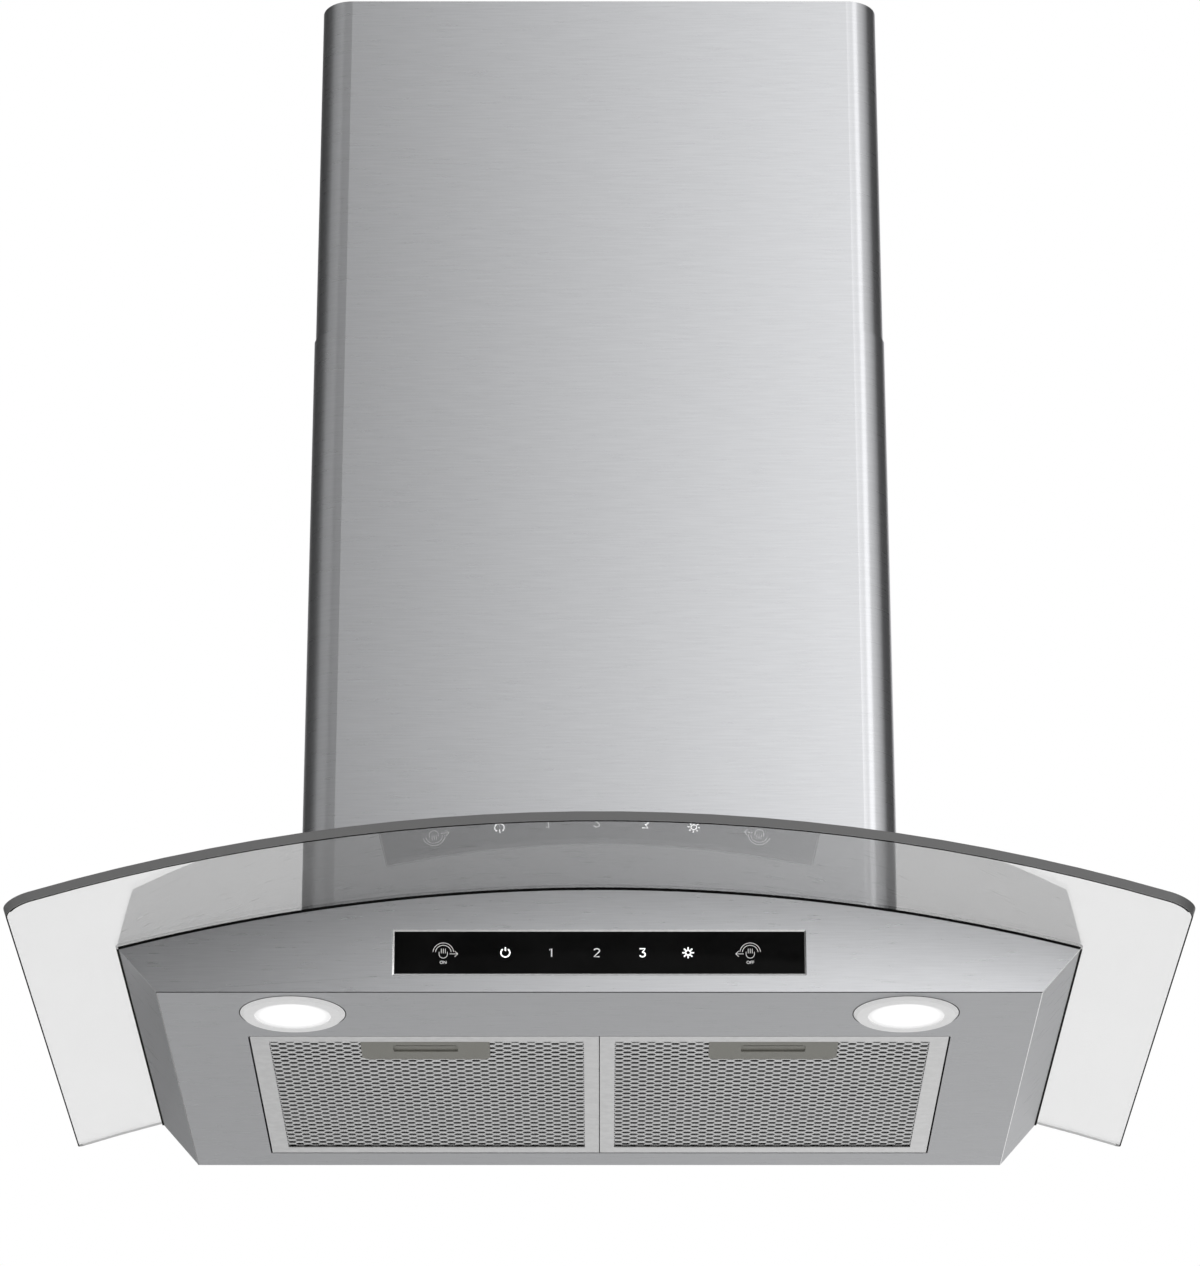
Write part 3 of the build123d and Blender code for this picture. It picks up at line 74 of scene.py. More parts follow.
def ramp(tree, factor, *stops):
    """Colour ramp through stops of (position, grey level or colour)."""
    node = tree.nodes.new("ShaderNodeValToRGB")
    elements = node.color_ramp.elements
    while len(elements) < len(stops):
        elements.new(0.5)
    for element, (position, colour) in zip(elements, stops):
        element.position = position
        rgb = colour if isinstance(colour, tuple) else (colour, colour, colour)
        element.color = (*rgb, 1.0)
    tree.links.new(factor, node.inputs["Fac"])
    return node.outputs["Color"]


def between(tree, factor, low, high, start=0.0, end=1.0):
    """Number from low to high as the factor goes from start to end."""
    node = tree.nodes.new("ShaderNodeMapRange")
    node.inputs["From Min"].default_value = start
    node.inputs["From Max"].default_value = end
    node.inputs["To Min"].default_value = low
    node.inputs["To Max"].default_value = high
    tree.links.new(factor, node.inputs["Value"])
    return node.outputs["Result"]


def calculate(tree, operation, first, second=0.0):
    """Result of one calculation on a socket and, where it needs one, a second socket or number."""
    node = tree.nodes.new("ShaderNodeMath")
    node.operation = operation
    tree.links.new(first, node.inputs[0])
    if isinstance(second, float):
        node.inputs[1].default_value = second
    else:
        tree.links.new(second, node.inputs[1])
    return node.outputs["Value"]


def blend(tree, factor, first, second):
    """Send a mix of two shaders to the output."""
    mix = tree.nodes.new("ShaderNodeMixShader")
    output = next(node for node in tree.nodes if node.type.startswith("OUTPUT"))
    tree.links.new(factor, mix.inputs["Fac"])
    tree.links.new(first, mix.inputs[1])
    tree.links.new(second, mix.inputs[2])
    tree.links.new(mix.outputs["Shader"], output.inputs["Surface"])


def seen(tree):
    """1 for rays from the eye, from a mirror or through glass, otherwise 0."""
    path = tree.nodes.new("ShaderNodeLightPath")
    mirrored = calculate(tree, "MAXIMUM", path.outputs["Is Camera Ray"], path.outputs["Is Glossy Ray"])
    return calculate(tree, "MAXIMUM", mirrored, path.outputs["Is Transmission Ray"])


def bump(tree, shader, factor, strength, distance):
    """Small relief from a noise factor."""
    node = tree.nodes.new("ShaderNodeBump")
    node.inputs["Strength"].default_value = strength
    node.inputs["Distance"].default_value = distance
    tree.links.new(factor, node.inputs["Height"])
    tree.links.new(node.outputs["Normal"], shader.inputs["Normal"])


# Finishes
GRAIN_ALONG = 40.0
GRAIN_ACROSS = 900.0
STEEL_TINT = (0.985, 0.995, 1.02)
GRAIN_DARK = 0.965
GRAIN_LIGHT = 1.035
MOULD_GRAIN = 900.0
LAMP_CORE = 0.0145
LAMP_RIM = 0.0235


def brushed_steel(name, grain, across, tone):
    """Stainless steel with fine lines; its highlights stretch across the grain."""
    material, tree, shader = new_material(name)
    lines = noise(tree, grain)
    dark, light = (tuple(tone * share * tint for tint in STEEL_TINT) for share in (GRAIN_DARK, GRAIN_LIGHT))
    tree.links.new(ramp(tree, lines, (0.3, dark), (0.7, light)), shader.inputs["Base Color"])
    tree.links.new(between(tree, lines, 0.27, 0.282), shader.inputs["Roughness"])
    shader.inputs["Metallic"].default_value = 1.0
    shader.inputs["Anisotropic"].default_value = 0.95
    tangent = tree.nodes.new("ShaderNodeCombineXYZ")
    for socket, value in zip(tangent.inputs, across):
        socket.default_value = value
    tree.links.new(tangent.outputs["Vector"], shader.inputs["Tangent"])
    return material


def plain_metal(name, dark, light, roughness, per_metre):
    """Metal with a soft cloudy tone, such as zinc coat, aluminium or spring steel."""
    material, tree, shader = new_material(name)
    cloud = noise(tree, (per_metre, per_metre, per_metre))
    tree.links.new(ramp(tree, cloud, (0.35, dark), (0.65, light)), shader.inputs["Base Color"])
    tree.links.new(between(tree, cloud, roughness * 0.85, roughness * 1.15), shader.inputs["Roughness"])
    shader.inputs["Metallic"].default_value = 1.0
    return material


def moulded_plastic(name, dark, light, roughness, shine=0.5):
    """Plastic or rubber with the fine grain of a mould."""
    material, tree, shader = new_material(name)
    grain = noise(tree, (MOULD_GRAIN, MOULD_GRAIN, MOULD_GRAIN))
    tree.links.new(ramp(tree, grain, (0.3, dark), (0.7, light)), shader.inputs["Base Color"])
    shader.inputs["Roughness"].default_value = roughness
    shader.inputs["Specular IOR Level"].default_value = shine
    bump(tree, shader, grain, 0.1, 0.0002)
    return material


EDGE_NORMAL = 0.5


def clear_glass():
    """Canopy glass, a little grey and hazy, with a coat that mirrors well and ground grey edges."""
    material, tree, shader = new_material("clear_glass")
    haze = noise(tree, (6.0, 6.0, 6.0))
    tree.links.new(ramp(tree, haze, (0.3, 0.85), (0.7, 0.87)), shader.inputs["Base Color"])
    shader.inputs["Transmission Weight"].default_value = 0.86
    shader.inputs["Roughness"].default_value = 0.0
    shader.inputs["IOR"].default_value = 1.5
    shader.inputs["Coat Weight"].default_value = 1.0
    shader.inputs["Coat IOR"].default_value = 1.7
    shader.inputs["Coat Roughness"].default_value = 0.0
    edge = tree.nodes.new("ShaderNodeBsdfPrincipled")
    edge.inputs["Base Color"].default_value = (0.16, 0.16, 0.16, 1.0)
    edge.inputs["Roughness"].default_value = 0.35
    surface = tree.nodes.new("ShaderNodeNewGeometry")
    axes = tree.nodes.new("ShaderNodeSeparateXYZ")
    tree.links.new(surface.outputs["True Normal"], axes.inputs["Vector"])
    on_edge = calculate(tree, "LESS_THAN", calculate(tree, "ABSOLUTE", axes.outputs["Z"]), EDGE_NORMAL)
    blend(tree, on_edge, shader.outputs["BSDF"], edge.outputs["BSDF"])
    return material


def black_glass():
    """Gloss black cover of the touch control."""
    material, tree, shader = new_material("black_glass")
    depth = noise(tree, (20.0, 20.0, 20.0))
    tree.links.new(ramp(tree, depth, (0.3, 0.004), (0.7, 0.008)), shader.inputs["Base Color"])
    shader.inputs["Roughness"].default_value = 0.08
    shader.inputs["Specular IOR Level"].default_value = 0.04
    return material


def lamp_glow(core, rim):
    """Lens that is brightest at its middle and softer towards its rim, each radius in metres."""
    material, tree, shader = new_material("lamp_lens_finish")
    low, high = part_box("lamp_right_lens")
    place = tree.nodes.new("ShaderNodeTexCoord")
    axes = tree.nodes.new("ShaderNodeSeparateXYZ")
    tree.links.new(place.outputs["Object"], axes.inputs["Vector"])
    sideways = calculate(tree, "ABSOLUTE", axes.outputs["X"])
    off_x = calculate(tree, "SUBTRACT", sideways, (low.x + high.x) / 2)
    off_y = calculate(tree, "SUBTRACT", axes.outputs["Y"], (low.y + high.y) / 2)
    square_x = calculate(tree, "POWER", off_x, 2.0)
    square_y = calculate(tree, "POWER", off_y, 2.0)
    radius = calculate(tree, "POWER", calculate(tree, "ADD", square_x, square_y), 0.5)
    light = between(tree, radius, 1.15, 0.66, core, rim)
    tree.links.new(light, shader.inputs["Emission Strength"])
    shader.inputs["Emission Color"].default_value = (1.0, 1.0, 1.0, 1.0)
    shader.inputs["Base Color"].default_value = (0.3, 0.3, 0.3, 1.0)
    shader.inputs["Roughness"].default_value = 0.4
    return material


def circuit_board():
    """Green board with darker tracks."""
    material, tree, shader = new_material("circuit_board")
    tracks = noise(tree, (120.0, 120.0, 400.0))
    colours = ramp(tree, tracks, (0.45, (0.01, 0.09, 0.03)), (0.55, (0.03, 0.16, 0.06)))
    tree.links.new(colours, shader.inputs["Base Color"])
    shader.inputs["Roughness"].default_value = 0.45
    return material


def glowing(name, base, light, strength):
    """Surface that gives off its own light, with a faint unevenness."""
    material, tree, shader = new_material(name)
    mottle = noise(tree, (60.0, 60.0, 60.0))
    tree.links.new(ramp(tree, mottle, (0.3, light), (0.7, base)), shader.inputs["Emission Color"])
    shader.inputs["Base Color"].default_value = (base, base, base, 1.0)
    shader.inputs["Emission Strength"].default_value = strength
    shader.inputs["Roughness"].default_value = 0.4
    return material


def dress(names, material):
    """Give the named CAD nodes one finish."""
    for name in names:
        nodes[name].data.materials.clear()
        nodes[name].data.materials.append(material)


def both(pattern):
    """The left and the right node of a pair."""
    return [pattern.format(side) for side in ("left", "right")]


def in_slot(slot):
    """Names of the CAD nodes that the record gives this material slot."""
    return [name for name, node in nodes.items() if node.data.materials[0].name == slot]


OFF_AXIS = 0.02  # keeps a direction from being square to a flat face
UP = (0.0, OFF_AXIS, 1.0)
INTO_WALL = (0.0, 1.0, OFF_AXIS)
upright_grain = (GRAIN_ALONG, GRAIN_ALONG, GRAIN_ACROSS)
flat_grain = (GRAIN_ALONG, GRAIN_ACROSS, GRAIN_ALONG)
finishes = {
    "galvanised_steel": plain_metal("zinc_coat", 0.42, 0.6, 0.42, 60.0),
    "clear_glass": clear_glass(),
    "black_glass": black_glass(),
    "black_rubber": moulded_plastic("rubber", 0.004, 0.008, 0.8, 0.15),
    "screw_steel": plain_metal("screw_steel_finish", 0.4, 0.5, 0.3, 300.0),
    "black_plastic": moulded_plastic("dark_plastic", 0.015, 0.025, 0.45),
    "circuit_board": circuit_board(),
    # The lamp trim's faint glow is painted light: the trim is no lamp, and the glow stands in for the
    # lamp's light coming through it.
    "lamp_trim": glowing("lamp_trim_painted_glow", 0.8, 0.75, 0.27),
    "lamp_lens": lamp_glow(LAMP_CORE, LAMP_RIM),
    "lamp_can": plain_metal("cast_aluminium", 0.45, 0.6, 0.5, 200.0),
    "spring_steel": plain_metal("spring_steel_finish", 0.35, 0.45, 0.3, 200.0),
    "scroll_plastic": moulded_plastic("scroll_finish", 0.04, 0.06, 0.5),
    "impeller_plastic": moulded_plastic("impeller_finish", 0.03, 0.045, 0.5),
    "motor_metal": plain_metal("motor_finish", 0.35, 0.5, 0.45, 80.0),
    "collar_plastic": moulded_plastic("collar_finish", 0.02, 0.03, 0.5),
    "filter_aluminium": plain_metal("aluminium", 0.7, 0.78, 0.38, 150.0),
    "handle_plastic": moulded_plastic("handle_finish", (0.26, 0.255, 0.225), (0.3, 0.295, 0.26), 0.5),
}
slot_nodes = {slot: in_slot(slot) for slot in finishes}
for slot, material in finishes.items():
    dress(slot_nodes[slot], material)
dress(["lower_chimney", "upper_chimney"], brushed_steel("chimney_steel", upright_grain, UP, 0.67))
dress(["front_panel"], brushed_steel("panel_steel", upright_grain, UP, 0.715))
# The underside takes the same brushed steel in a lower tone: painted shade on faces that look down.
dress(["body_shell"], brushed_steel("underside_steel_painted_shade", flat_grain, INTO_WALL, 0.56))
# The filter cores behind the strands are near black: painted shade in the holes of the mesh.
dress(both("filter_{}_core"), plain_metal("mesh_hole_painted_shade", 0.02, 0.06, 0.6, 400.0))


# Pieces of the scene's own
def add_piece(name, vertices, faces, material, body, slot):
    """Mesh piece that rides on a body, with one material. The slot argument is not used."""
    mesh = bpy.data.meshes.new(name)
    mesh.from_pydata(vertices, [], faces)
    mesh.materials.append(material)
    piece = bpy.data.objects.new(name, mesh)
    bpy.context.scene.collection.objects.link(piece)
    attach(piece, body)
    return piece


def ribbon(pairs, closed=False):
    """Vertices and faces of a strip through pairs of points."""
    vertices = [point for pair in pairs for point in pair]
    count = len(pairs)
    faces = []
    for i in range(count if closed else count - 1):
        following = (i + 1) % count
        faces.append((2 * i, 2 * i + 1, 2 * following + 1, 2 * following))
    return vertices, faces


# Expanded filter mesh
MESH_PITCH_X = 0.0106
MESH_PITCH_Y = 0.0089
STRAND_FRONT = 0.0010
STRAND_REAR = 0.0010
STRAND_FLAT = 0.0036
STRAND_TILT = radians(20.0)
mesh_metal = plain_metal("mesh_aluminium", 0.66, 0.76, 0.22, 250.0)


def strand_section():
    """Underside of a strand, in Y about its middle and Z above its lowest line: its front part turns up."""
    front = STRAND_FRONT * cos(STRAND_TILT)
    rise = STRAND_FRONT * sin(STRAND_TILT)
    middle_y = (STRAND_REAR - front) / 2
    under = [(-front, rise), (0.0, 0.0), (STRAND_REAR, 0.0)]
    return [(y - middle_y, z) for y, z in under]


def expanded_mesh(side):
    """Strands that swing to and fro and lie beside each neighbour by turns, but not over the handle."""
    low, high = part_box(f"filter_{side}_mesh")
    handle_low, handle_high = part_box(f"filter_{side}_handle")
    section = strand_section()
    width = section[-1][0] - section[0][0]
    turns = round((high.x - low.x) / (MESH_PITCH_X / 2))
    rows = round((high.y - low.y) / (MESH_PITCH_Y / 2))
    step_x = (high.x - low.x) / turns
    step_y = (high.y - low.y) / rows
    swing = step_y - width
    vertices = []
    faces = []
    for row in range(rows):
        stations = []
        for turn in range(turns):
            middle_x = low.x + (turn + 0.5) * step_x
            y = low.y + width / 2 + row * step_y + (turn + row) % 2 * swing
            stations.extend((middle_x + way * STRAND_FLAT / 2, y) for way in (-1, 1))
        first = len(vertices)
        for x, y in stations:
            vertices.extend((x, y + across, low.z + up) for across, up in section)
        for i in range(len(stations) - 1):
            covered = handle_low.x < stations[i][0] and stations[i + 1][0] < handle_high.x
            if covered and low.y + (row + 1) * step_y < handle_high.y:
                continue
            near = first + i * len(section)
            far = near + len(section)
            for corner in range(len(section) - 1):
                faces.append((near + corner, near + corner + 1, far + corner + 1, far + corner))
    body = f"filter_{side}"
    piece = add_piece(f"{body}_strands", vertices, faces, mesh_metal, body, "filter_aluminium")
    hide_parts(f"filter_{side}_mesh")


for side in ("left", "right"):
    expanded_mesh(side)


# Thin trim: lips of the seal, lines of painted shade under edges, painted highlights on bends, bevel round
# the control and painted shadow rings round the lamps
TRIM_STEPS = 48
TRIM_LIFT = 0.0001
SEAL_COVER = 0.00045
SEAL_SIDE = 0.0014
ARRIS_FRONT = 0.002
ARRIS_SIDE = 0.0009
JOINT_WIDTH = 0.0013
BEND_WIDTH = 0.0007
BEND_LIFT = 0.00005
BEVEL_OUT = 0.0003
BEVEL_IN = 0.0009
GAP_SHADOW_WIDTH = 0.0006
STRAIGHT = 0.99
# Bright smooth steel for the bevel round the control and for the painted highlights on the bends.
polished_bevel_and_bend_highlight = plain_metal("polished_bevel_and_bend_highlight", 0.7, 0.78, 0.2, 300.0)
# Near black finish for the painted shade under the glass edges.
painted_arris_shade = moulded_plastic("painted_arris_shade", 0.004, 0.008, 0.7, 0.1)
# The seal's black rubber, also used for the painted shadows at the panel joint and round the lamps.
rubber = finishes["black_rubber"]


def spot(pair):
    """A line's place to a hundredth of a millimetre, the same from either end."""
    return frozenset(tuple(round(value, 5) for value in point) for point in pair)


def seal_front():
    """Black lip of the seal along the arch, between the front panel and the glass."""
    low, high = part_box("glass_seal")
    arch_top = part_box("front_panel")[1].z
    drop = arch_top - low.z
    radius = (high.x**2 + drop**2) / (2 * drop)
    reach = asin(high.x / radius)
    edges = (radius - SEAL_COVER, radius + high.z - arch_top + SEAL_COVER)
    pairs = []
    for step in range(TRIM_STEPS + 1):
        turn = reach * (2 * step / TRIM_STEPS - 1)
        pairs.append([
            (edge * sin(turn), low.y - TRIM_LIFT, arch_top - radius + edge * cos(turn)) for edge in edges
        ])
    add_piece("seal_lip_front", *ribbon(pairs), rubber, "hood", "black_rubber")


def seal_side(name, way):
    """Edge of the seal that shows from below beside the sloping side of the body."""
    low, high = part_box("glass_seal")
    edges = [way * (high.x - SEAL_COVER), way * (high.x + SEAL_SIDE)]
    pairs = [[(x, y, low.z - TRIM_LIFT) for x in edges] for y in (low.y - TRIM_LIFT, high.y - SEAL_SIDE)]
    add_piece(name, *ribbon(pairs), rubber, "hood", "black_rubber")


def faces_down(normal):
    """True for a face that looks down."""
    return normal.z < -EDGE_NORMAL


def faces_front(normal):
    """True for a face that looks straight to the front."""
    return normal.y < -STRAIGHT


def flat_underside(normal):
    """True for a face that looks straight down."""
    return normal.z < -STRAIGHT


def sloping_side(normal):
    """True for a face that looks to one side and down."""
    return abs(normal.x) > EDGE_NORMAL and normal.z < -EDGE_NORMAL


def sloping_right(normal):
    """True for a face that looks to the right, where the bend catches the light, and down."""
    return normal.x > EDGE_NORMAL and normal.z < -EDGE_NORMAL


def front_rim(normal):
    """True for an upright face that looks more or less to the front."""
    return abs(normal.z) < EDGE_NORMAL and normal.y < -EDGE_NORMAL


def side_rim(normal):
    """True for an upright face that looks more or less to one side."""
    return abs(normal.z) < EDGE_NORMAL and abs(normal.y) < EDGE_NORMAL


def shared_edges(name, first_kind, second_kind):
    """Edges of a CAD node between faces of two kinds: ends and both outward directions."""
    node = nodes[name]
    points = [node.matrix_world @ vertex.co for vertex in node.data.vertices]
    found = ({}, {})
    for face in node.data.polygons:
        for sides, kind in zip(found, (first_kind, second_kind)):
            if kind(face.normal):
                for start, end in face.edge_keys:
                    pair = (points[start], points[end])
                    sides[spot(pair)] = (pair, face.normal.copy())
    firsts, seconds = found
    return [(*firsts[key], seconds[key][1]) for key in firsts if key in seconds]


def edge_strips(name, strips, material, slot):
    """Flat strips on the hood, each from a list of four corners."""
    vertices = [tuple(corner) for corners in strips for corner in corners]
    faces = [tuple(range(4 * i, 4 * i + 4)) for i in range(len(strips))]
    add_piece(name, vertices, faces, material, "hood", slot)


def under_line(name, edges, width, material, slot):
    """Dark line along edges where an underside meets a rim, on the underside: painted shade."""
    strips = []
    for pair, down, outward in edges:
        outer = [point + down * TRIM_LIFT for point in pair]
        inner = [point - outward * width for point in outer]
        strips.append([*outer, *reversed(inner)])
    edge_strips(name, strips, material, slot)


def panel_foot():
    """Lowest edges of the front panel's face, without those of its opening."""
    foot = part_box("front_panel")[0].z + TRIM_LIFT
    edges = shared_edges("front_panel", flat_underside, faces_front)
    return [edge for edge in edges if edge[0][0].z < foot]


def bend_line(name, node, first_kind, second_kind):
    """Bright line where the brushed steel is bent, square to the mean of the two faces: a painted highlight
    of the bend.
    """
    strips = []
    for pair, first_normal, second_normal in shared_edges(node, first_kind, second_kind):
        outward = (first_normal + second_normal).normalized()
        side = (pair[1] - pair[0]).normalized().cross(outward) * BEND_WIDTH / 2
        middle = [point + outward * BEND_LIFT for point in pair]
        strips.append([middle[0] - side, middle[1] - side, middle[1] + side, middle[0] + side])
    edge_strips(name, strips, polished_bevel_and_bend_highlight, "brushed_steel")


def control_bevel():
    """Bright bevel of the front panel's opening, from the panel's face down to the control glass."""
    low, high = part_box("control_glass")
    panel_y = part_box("front_panel")[0].y
    pairs = []
    for way_x, way_z in ((-1, -1), (1, -1), (1, 1), (-1, 1)):
        corner = (low.x if way_x < 0 else high.x, low.z if way_z < 0 else high.z)
        outer = (corner[0] + way_x * BEVEL_OUT, panel_y - TRIM_LIFT, corner[1] + way_z * BEVEL_OUT)
        inner = (corner[0] - way_x * BEVEL_IN, low.y - TRIM_LIFT, corner[1] - way_z * BEVEL_IN)
        pairs.append([outer, inner])
    add_piece("control_bevel", *ribbon(pairs, closed=True), polished_bevel_and_bend_highlight, "hood", "brushed_steel")


def lamp_gasket(side):
    """Thin dark ring between the lamp's trim and the steel: painted shadow of the gap between them."""
    low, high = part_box(f"lamp_{side}_ring")
    middle = ((low.x + high.x) / 2, (low.y + high.y) / 2)
    radius = (high.x - low.x) / 2
    pairs = []
    for step in range(TRIM_STEPS):
        turn = 2 * pi * step / TRIM_STEPS
        pairs.append([
            (middle[0] + edge * cos(turn), middle[1] + edge * sin(turn), high.z - TRIM_LIFT)
            for edge in (radius - GAP_SHADOW_WIDTH, radius + GAP_SHADOW_WIDTH)
        ])
    add_piece(f"lamp_{side}_gap_shadow", *ribbon(pairs, closed=True), rubber, "hood", "black_rubber")


seal_front()
seal_side("seal_lip_left", -1)
seal_side("seal_lip_right", 1)
glass_front = shared_edges("glass_canopy", faces_down, front_rim)
glass_sides = shared_edges("glass_canopy", faces_down, side_rim)
# Painted shade along the lower edges of the glass.
under_line("arris_front", glass_front, ARRIS_FRONT, painted_arris_shade, "clear_glass")
under_line("arris_sides", glass_sides, ARRIS_SIDE, painted_arris_shade, "clear_glass")
# The panel joint line is painted shadow: a black strip in place of the gap's shade where the front panel
# meets the body.
under_line("panel_joint_shadow", panel_foot(), JOINT_WIDTH, rubber, "black_rubber")
# Painted highlights along the bends of the steel; on the front panel only on its right.
bend_line("underside_bend_highlights", "body_shell", flat_underside, sloping_side)
bend_line("panel_bend_highlight", "front_panel", faces_front, sloping_right)
control_bevel()
# Painted shadow rings round the lamp trims.
for side in ("left", "right"):
    lamp_gasket(side)


# Lit marks on the touch control
MARK_LEVEL = 0.0269
MARK_LIFT = 0.00005
MARK_MIDDLE = -0.0017
MARK_PITCH = 0.02965
SENSOR_MARK_X = 0.0996
DIGIT_HEIGHT = 0.0055
DIGIT_WIDTH = 0.0036
CAPITAL_SHARE = 0.69  # height of a capital as a share of the font's size
LINE = 0.0008
THIN_LINE = 0.0003
POWER_RADIUS = 0.0029
POWER_BAR = (0.0012, 0.0037)
LAMP_MARK_RADIUS = 0.0017
LAMP_MARK_RAYS = (0.0024, 0.0038)
WAVE_RADII = (0.0067, 0.0051)
PALM_RADIUS = 0.0027
PALM_LEVEL = -0.001
PALM_TOP = 0.0006
FINGER_PITCH = 0.0013
FINGER_ENDS = (0.0028, -0.0004)
ARROW_ENDS = (0.0042, 0.0094)
ARROW_LEVEL = -0.0008
ARROW_HEAD = 0.002
WORD_LEVEL = -0.0067
WORD_HEIGHT = 0.002
mark_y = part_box("control_glass")[0].y - MARK_LIFT
mark_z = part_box("body_shell")[0].z + MARK_LEVEL
bright_light = glowing("mark_light", 0.95, 1.0, 1.3)
soft_light = glowing("soft_mark_light", 0.5, 0.55, 0.9)
faint_light = glowing("faint_mark_light", 0.62, 0.66, 0.85)


def arc(centre, radius, start, sweep, steps=24, height=None):
    """Points along an arc, angles in degrees; with a height, the arc is drawn out or flattened to it."""
    rise = radius if height is None else height
    turns = [radians(start + sweep * i / steps) for i in range(steps + 1)]
    return [(centre[0] + radius * cos(turn), centre[1] + rise * sin(turn)) for turn in turns]


def add_line(strokes, points, width):
    """Flat line of even width through the points, added to a list of (vertices, faces)."""
    pairs = []
    for i, (x, z) in enumerate(points):
        before = points[max(i - 1, 0)]
        after = points[min(i + 1, len(points) - 1)]
        run = (after[0] - before[0], after[1] - before[1])
        length = (run[0] ** 2 + run[1] ** 2) ** 0.5
        side = (-run[1] / length * width / 2, run[0] / length * width / 2)
        pairs.append([(x + side[0], mark_y, z + side[1]), (x - side[0], mark_y, z - side[1])])
    strokes.append(ribbon(pairs))


def mark(name, strokes, material):
    """One piece from several flat lines."""
    vertices = []
    faces = []
    for stroke_vertices, stroke_faces in strokes:
        first = len(vertices)
        vertices.extend(stroke_vertices)
        faces.extend(tuple(first + i for i in face) for face in stroke_faces)
    add_piece(name, vertices, faces, material, "hood", "lamp_lens")


def letters(name, text, x, z, height, material):
    """Text on the control glass, centred on x and z; its capitals have the given height."""
    curve = bpy.data.curves.new(name, "FONT")
    curve.body = text
    curve.align_x = "CENTER"
    curve.align_y = "CENTER"
    curve.size = height / CAPITAL_SHARE
    piece = bpy.data.objects.new(name, curve)
    piece.rotation_euler = (radians(90.0), 0.0, 0.0)
    piece.location = (x, mark_y, z)
    curve.materials.append(material)
    bpy.context.scene.collection.objects.link(piece)
    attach(piece, "hood")


def power_mark(x):
    """Open ring with a bar through its gap."""
    strokes = []
    add_line(strokes, arc((x, mark_z), POWER_RADIUS, 125.0, 290.0), LINE)
    add_line(strokes, [(x, mark_z + end) for end in POWER_BAR], LINE)
    mark("mark_power", strokes, bright_light)


def digit_points(number, x):
    """Middle line of the digit 1, 2 or 3."""
    half = DIGIT_HEIGHT / 2
    wide = DIGIT_WIDTH / 2
    bowl = DIGIT_HEIGHT / 4
    top, low = mark_z + half, mark_z - half
    if number == 1:
        return [(x - wide * 0.6, top - bowl * 0.6), (x + wide * 0.2, top), (x + wide * 0.2, low)]
    if number == 2:
        return [*arc((x, top - bowl), wide, 165.0, -205.0, height=bowl), (x - wide, low), (x + wide, low)]
    lower = arc((x, low + bowl * 1.1), wide, 80.0, -240.0, height=bowl * 1.1)
    return [(x - wide, top), (x + wide, top), (x, mark_z + bowl * 0.2), *lower]


def lamp_mark(x):
    """Small ring with eight rays."""
    strokes = []
    add_line(strokes, arc((x, mark_z), LAMP_MARK_RADIUS, 0.0, 360.0), LINE)
    for ray in range(8):
        way = (cos(radians(45.0 * ray)), sin(radians(45.0 * ray)))
        ends = [(x + way[0] * reach, mark_z + way[1] * reach) for reach in LAMP_MARK_RAYS]
        add_line(strokes, ends, LINE)
    mark("mark_lamp", strokes, bright_light)


def wave_mark(name, x, way, text):
    """Hand under two arcs with an arrow to one side, and a word below."""
    strokes = []
    for radius in WAVE_RADII:
        add_line(strokes, arc((x, mark_z), radius, 5.0, 170.0), THIN_LINE)
    palm = arc((x, mark_z + PALM_LEVEL), PALM_RADIUS, 180.0, 180.0, 10)
    palm_top = mark_z + PALM_TOP
    add_line(strokes, [(x - PALM_RADIUS, palm_top), *palm, (x + PALM_RADIUS, palm_top)], THIN_LINE)
    for finger in (-1, 0, 1):
        add_line(strokes, [(x + finger * FINGER_PITCH, mark_z + end) for end in FINGER_ENDS], THIN_LINE)
    tail, tip = [(x + way * end, mark_z + ARROW_LEVEL) for end in ARROW_ENDS]
    add_line(strokes, [tail, tip], THIN_LINE)
    for rise in (-1, 1):
        add_line(strokes, [(tip[0] - way * ARROW_HEAD, tip[1] + rise * ARROW_HEAD), tip], THIN_LINE)
    mark(f"mark_{name}", strokes, faint_light)
    letters(f"mark_{name}_word", text, x, mark_z + WORD_LEVEL, WORD_HEIGHT, faint_light)


power_mark(MARK_MIDDLE - 2 * MARK_PITCH)
for number, material in enumerate((soft_light, soft_light, bright_light), start=1):
    strokes = []
    add_line(strokes, digit_points(number, MARK_MIDDLE + (number - 2) * MARK_PITCH), LINE)
    mark(f"mark_speed_{number}", strokes, material)
lamp_mark(MARK_MIDDLE + 2 * MARK_PITCH)
wave_mark("wave_on", MARK_MIDDLE - SENSOR_MARK_X, 1, "ON")
wave_mark("wave_off", MARK_MIDDLE + SENSOR_MARK_X, -1, "OFF")


# Studio: pale floor, white surround, soft lamps, and cards that only reflections see
FLOOR_Z = -1.7
FLOOR_SIZE = 14.0
FLOOR_SHADE_END = 2.2
FLOOR_WHITE_START = 3.3
CARD_X = 4.5
CARD_FRONT = -5.0
CARD_REAR = 5.0
CARD_TOP = 6.0
LOW_CARD_REACH = 2.5
LOW_CARD_NEAR = -0.9
LOW_CARD_FAR = -2.9
LOW_CARD_RISE = 1.6
CARD_STRENGTH = 2.0
CARD_RISE_LOW = -1.0
CARD_RISE_HIGH = 0.5
FRONT_CARD_FOOT = 0.62
CARD_FADE_LOW = 1.3
CARD_FADE_HIGH = 3.8
CARD_FADE = 0.69
WORLD_LIGHT = 0.55
WORLD_WHITE = 1.0


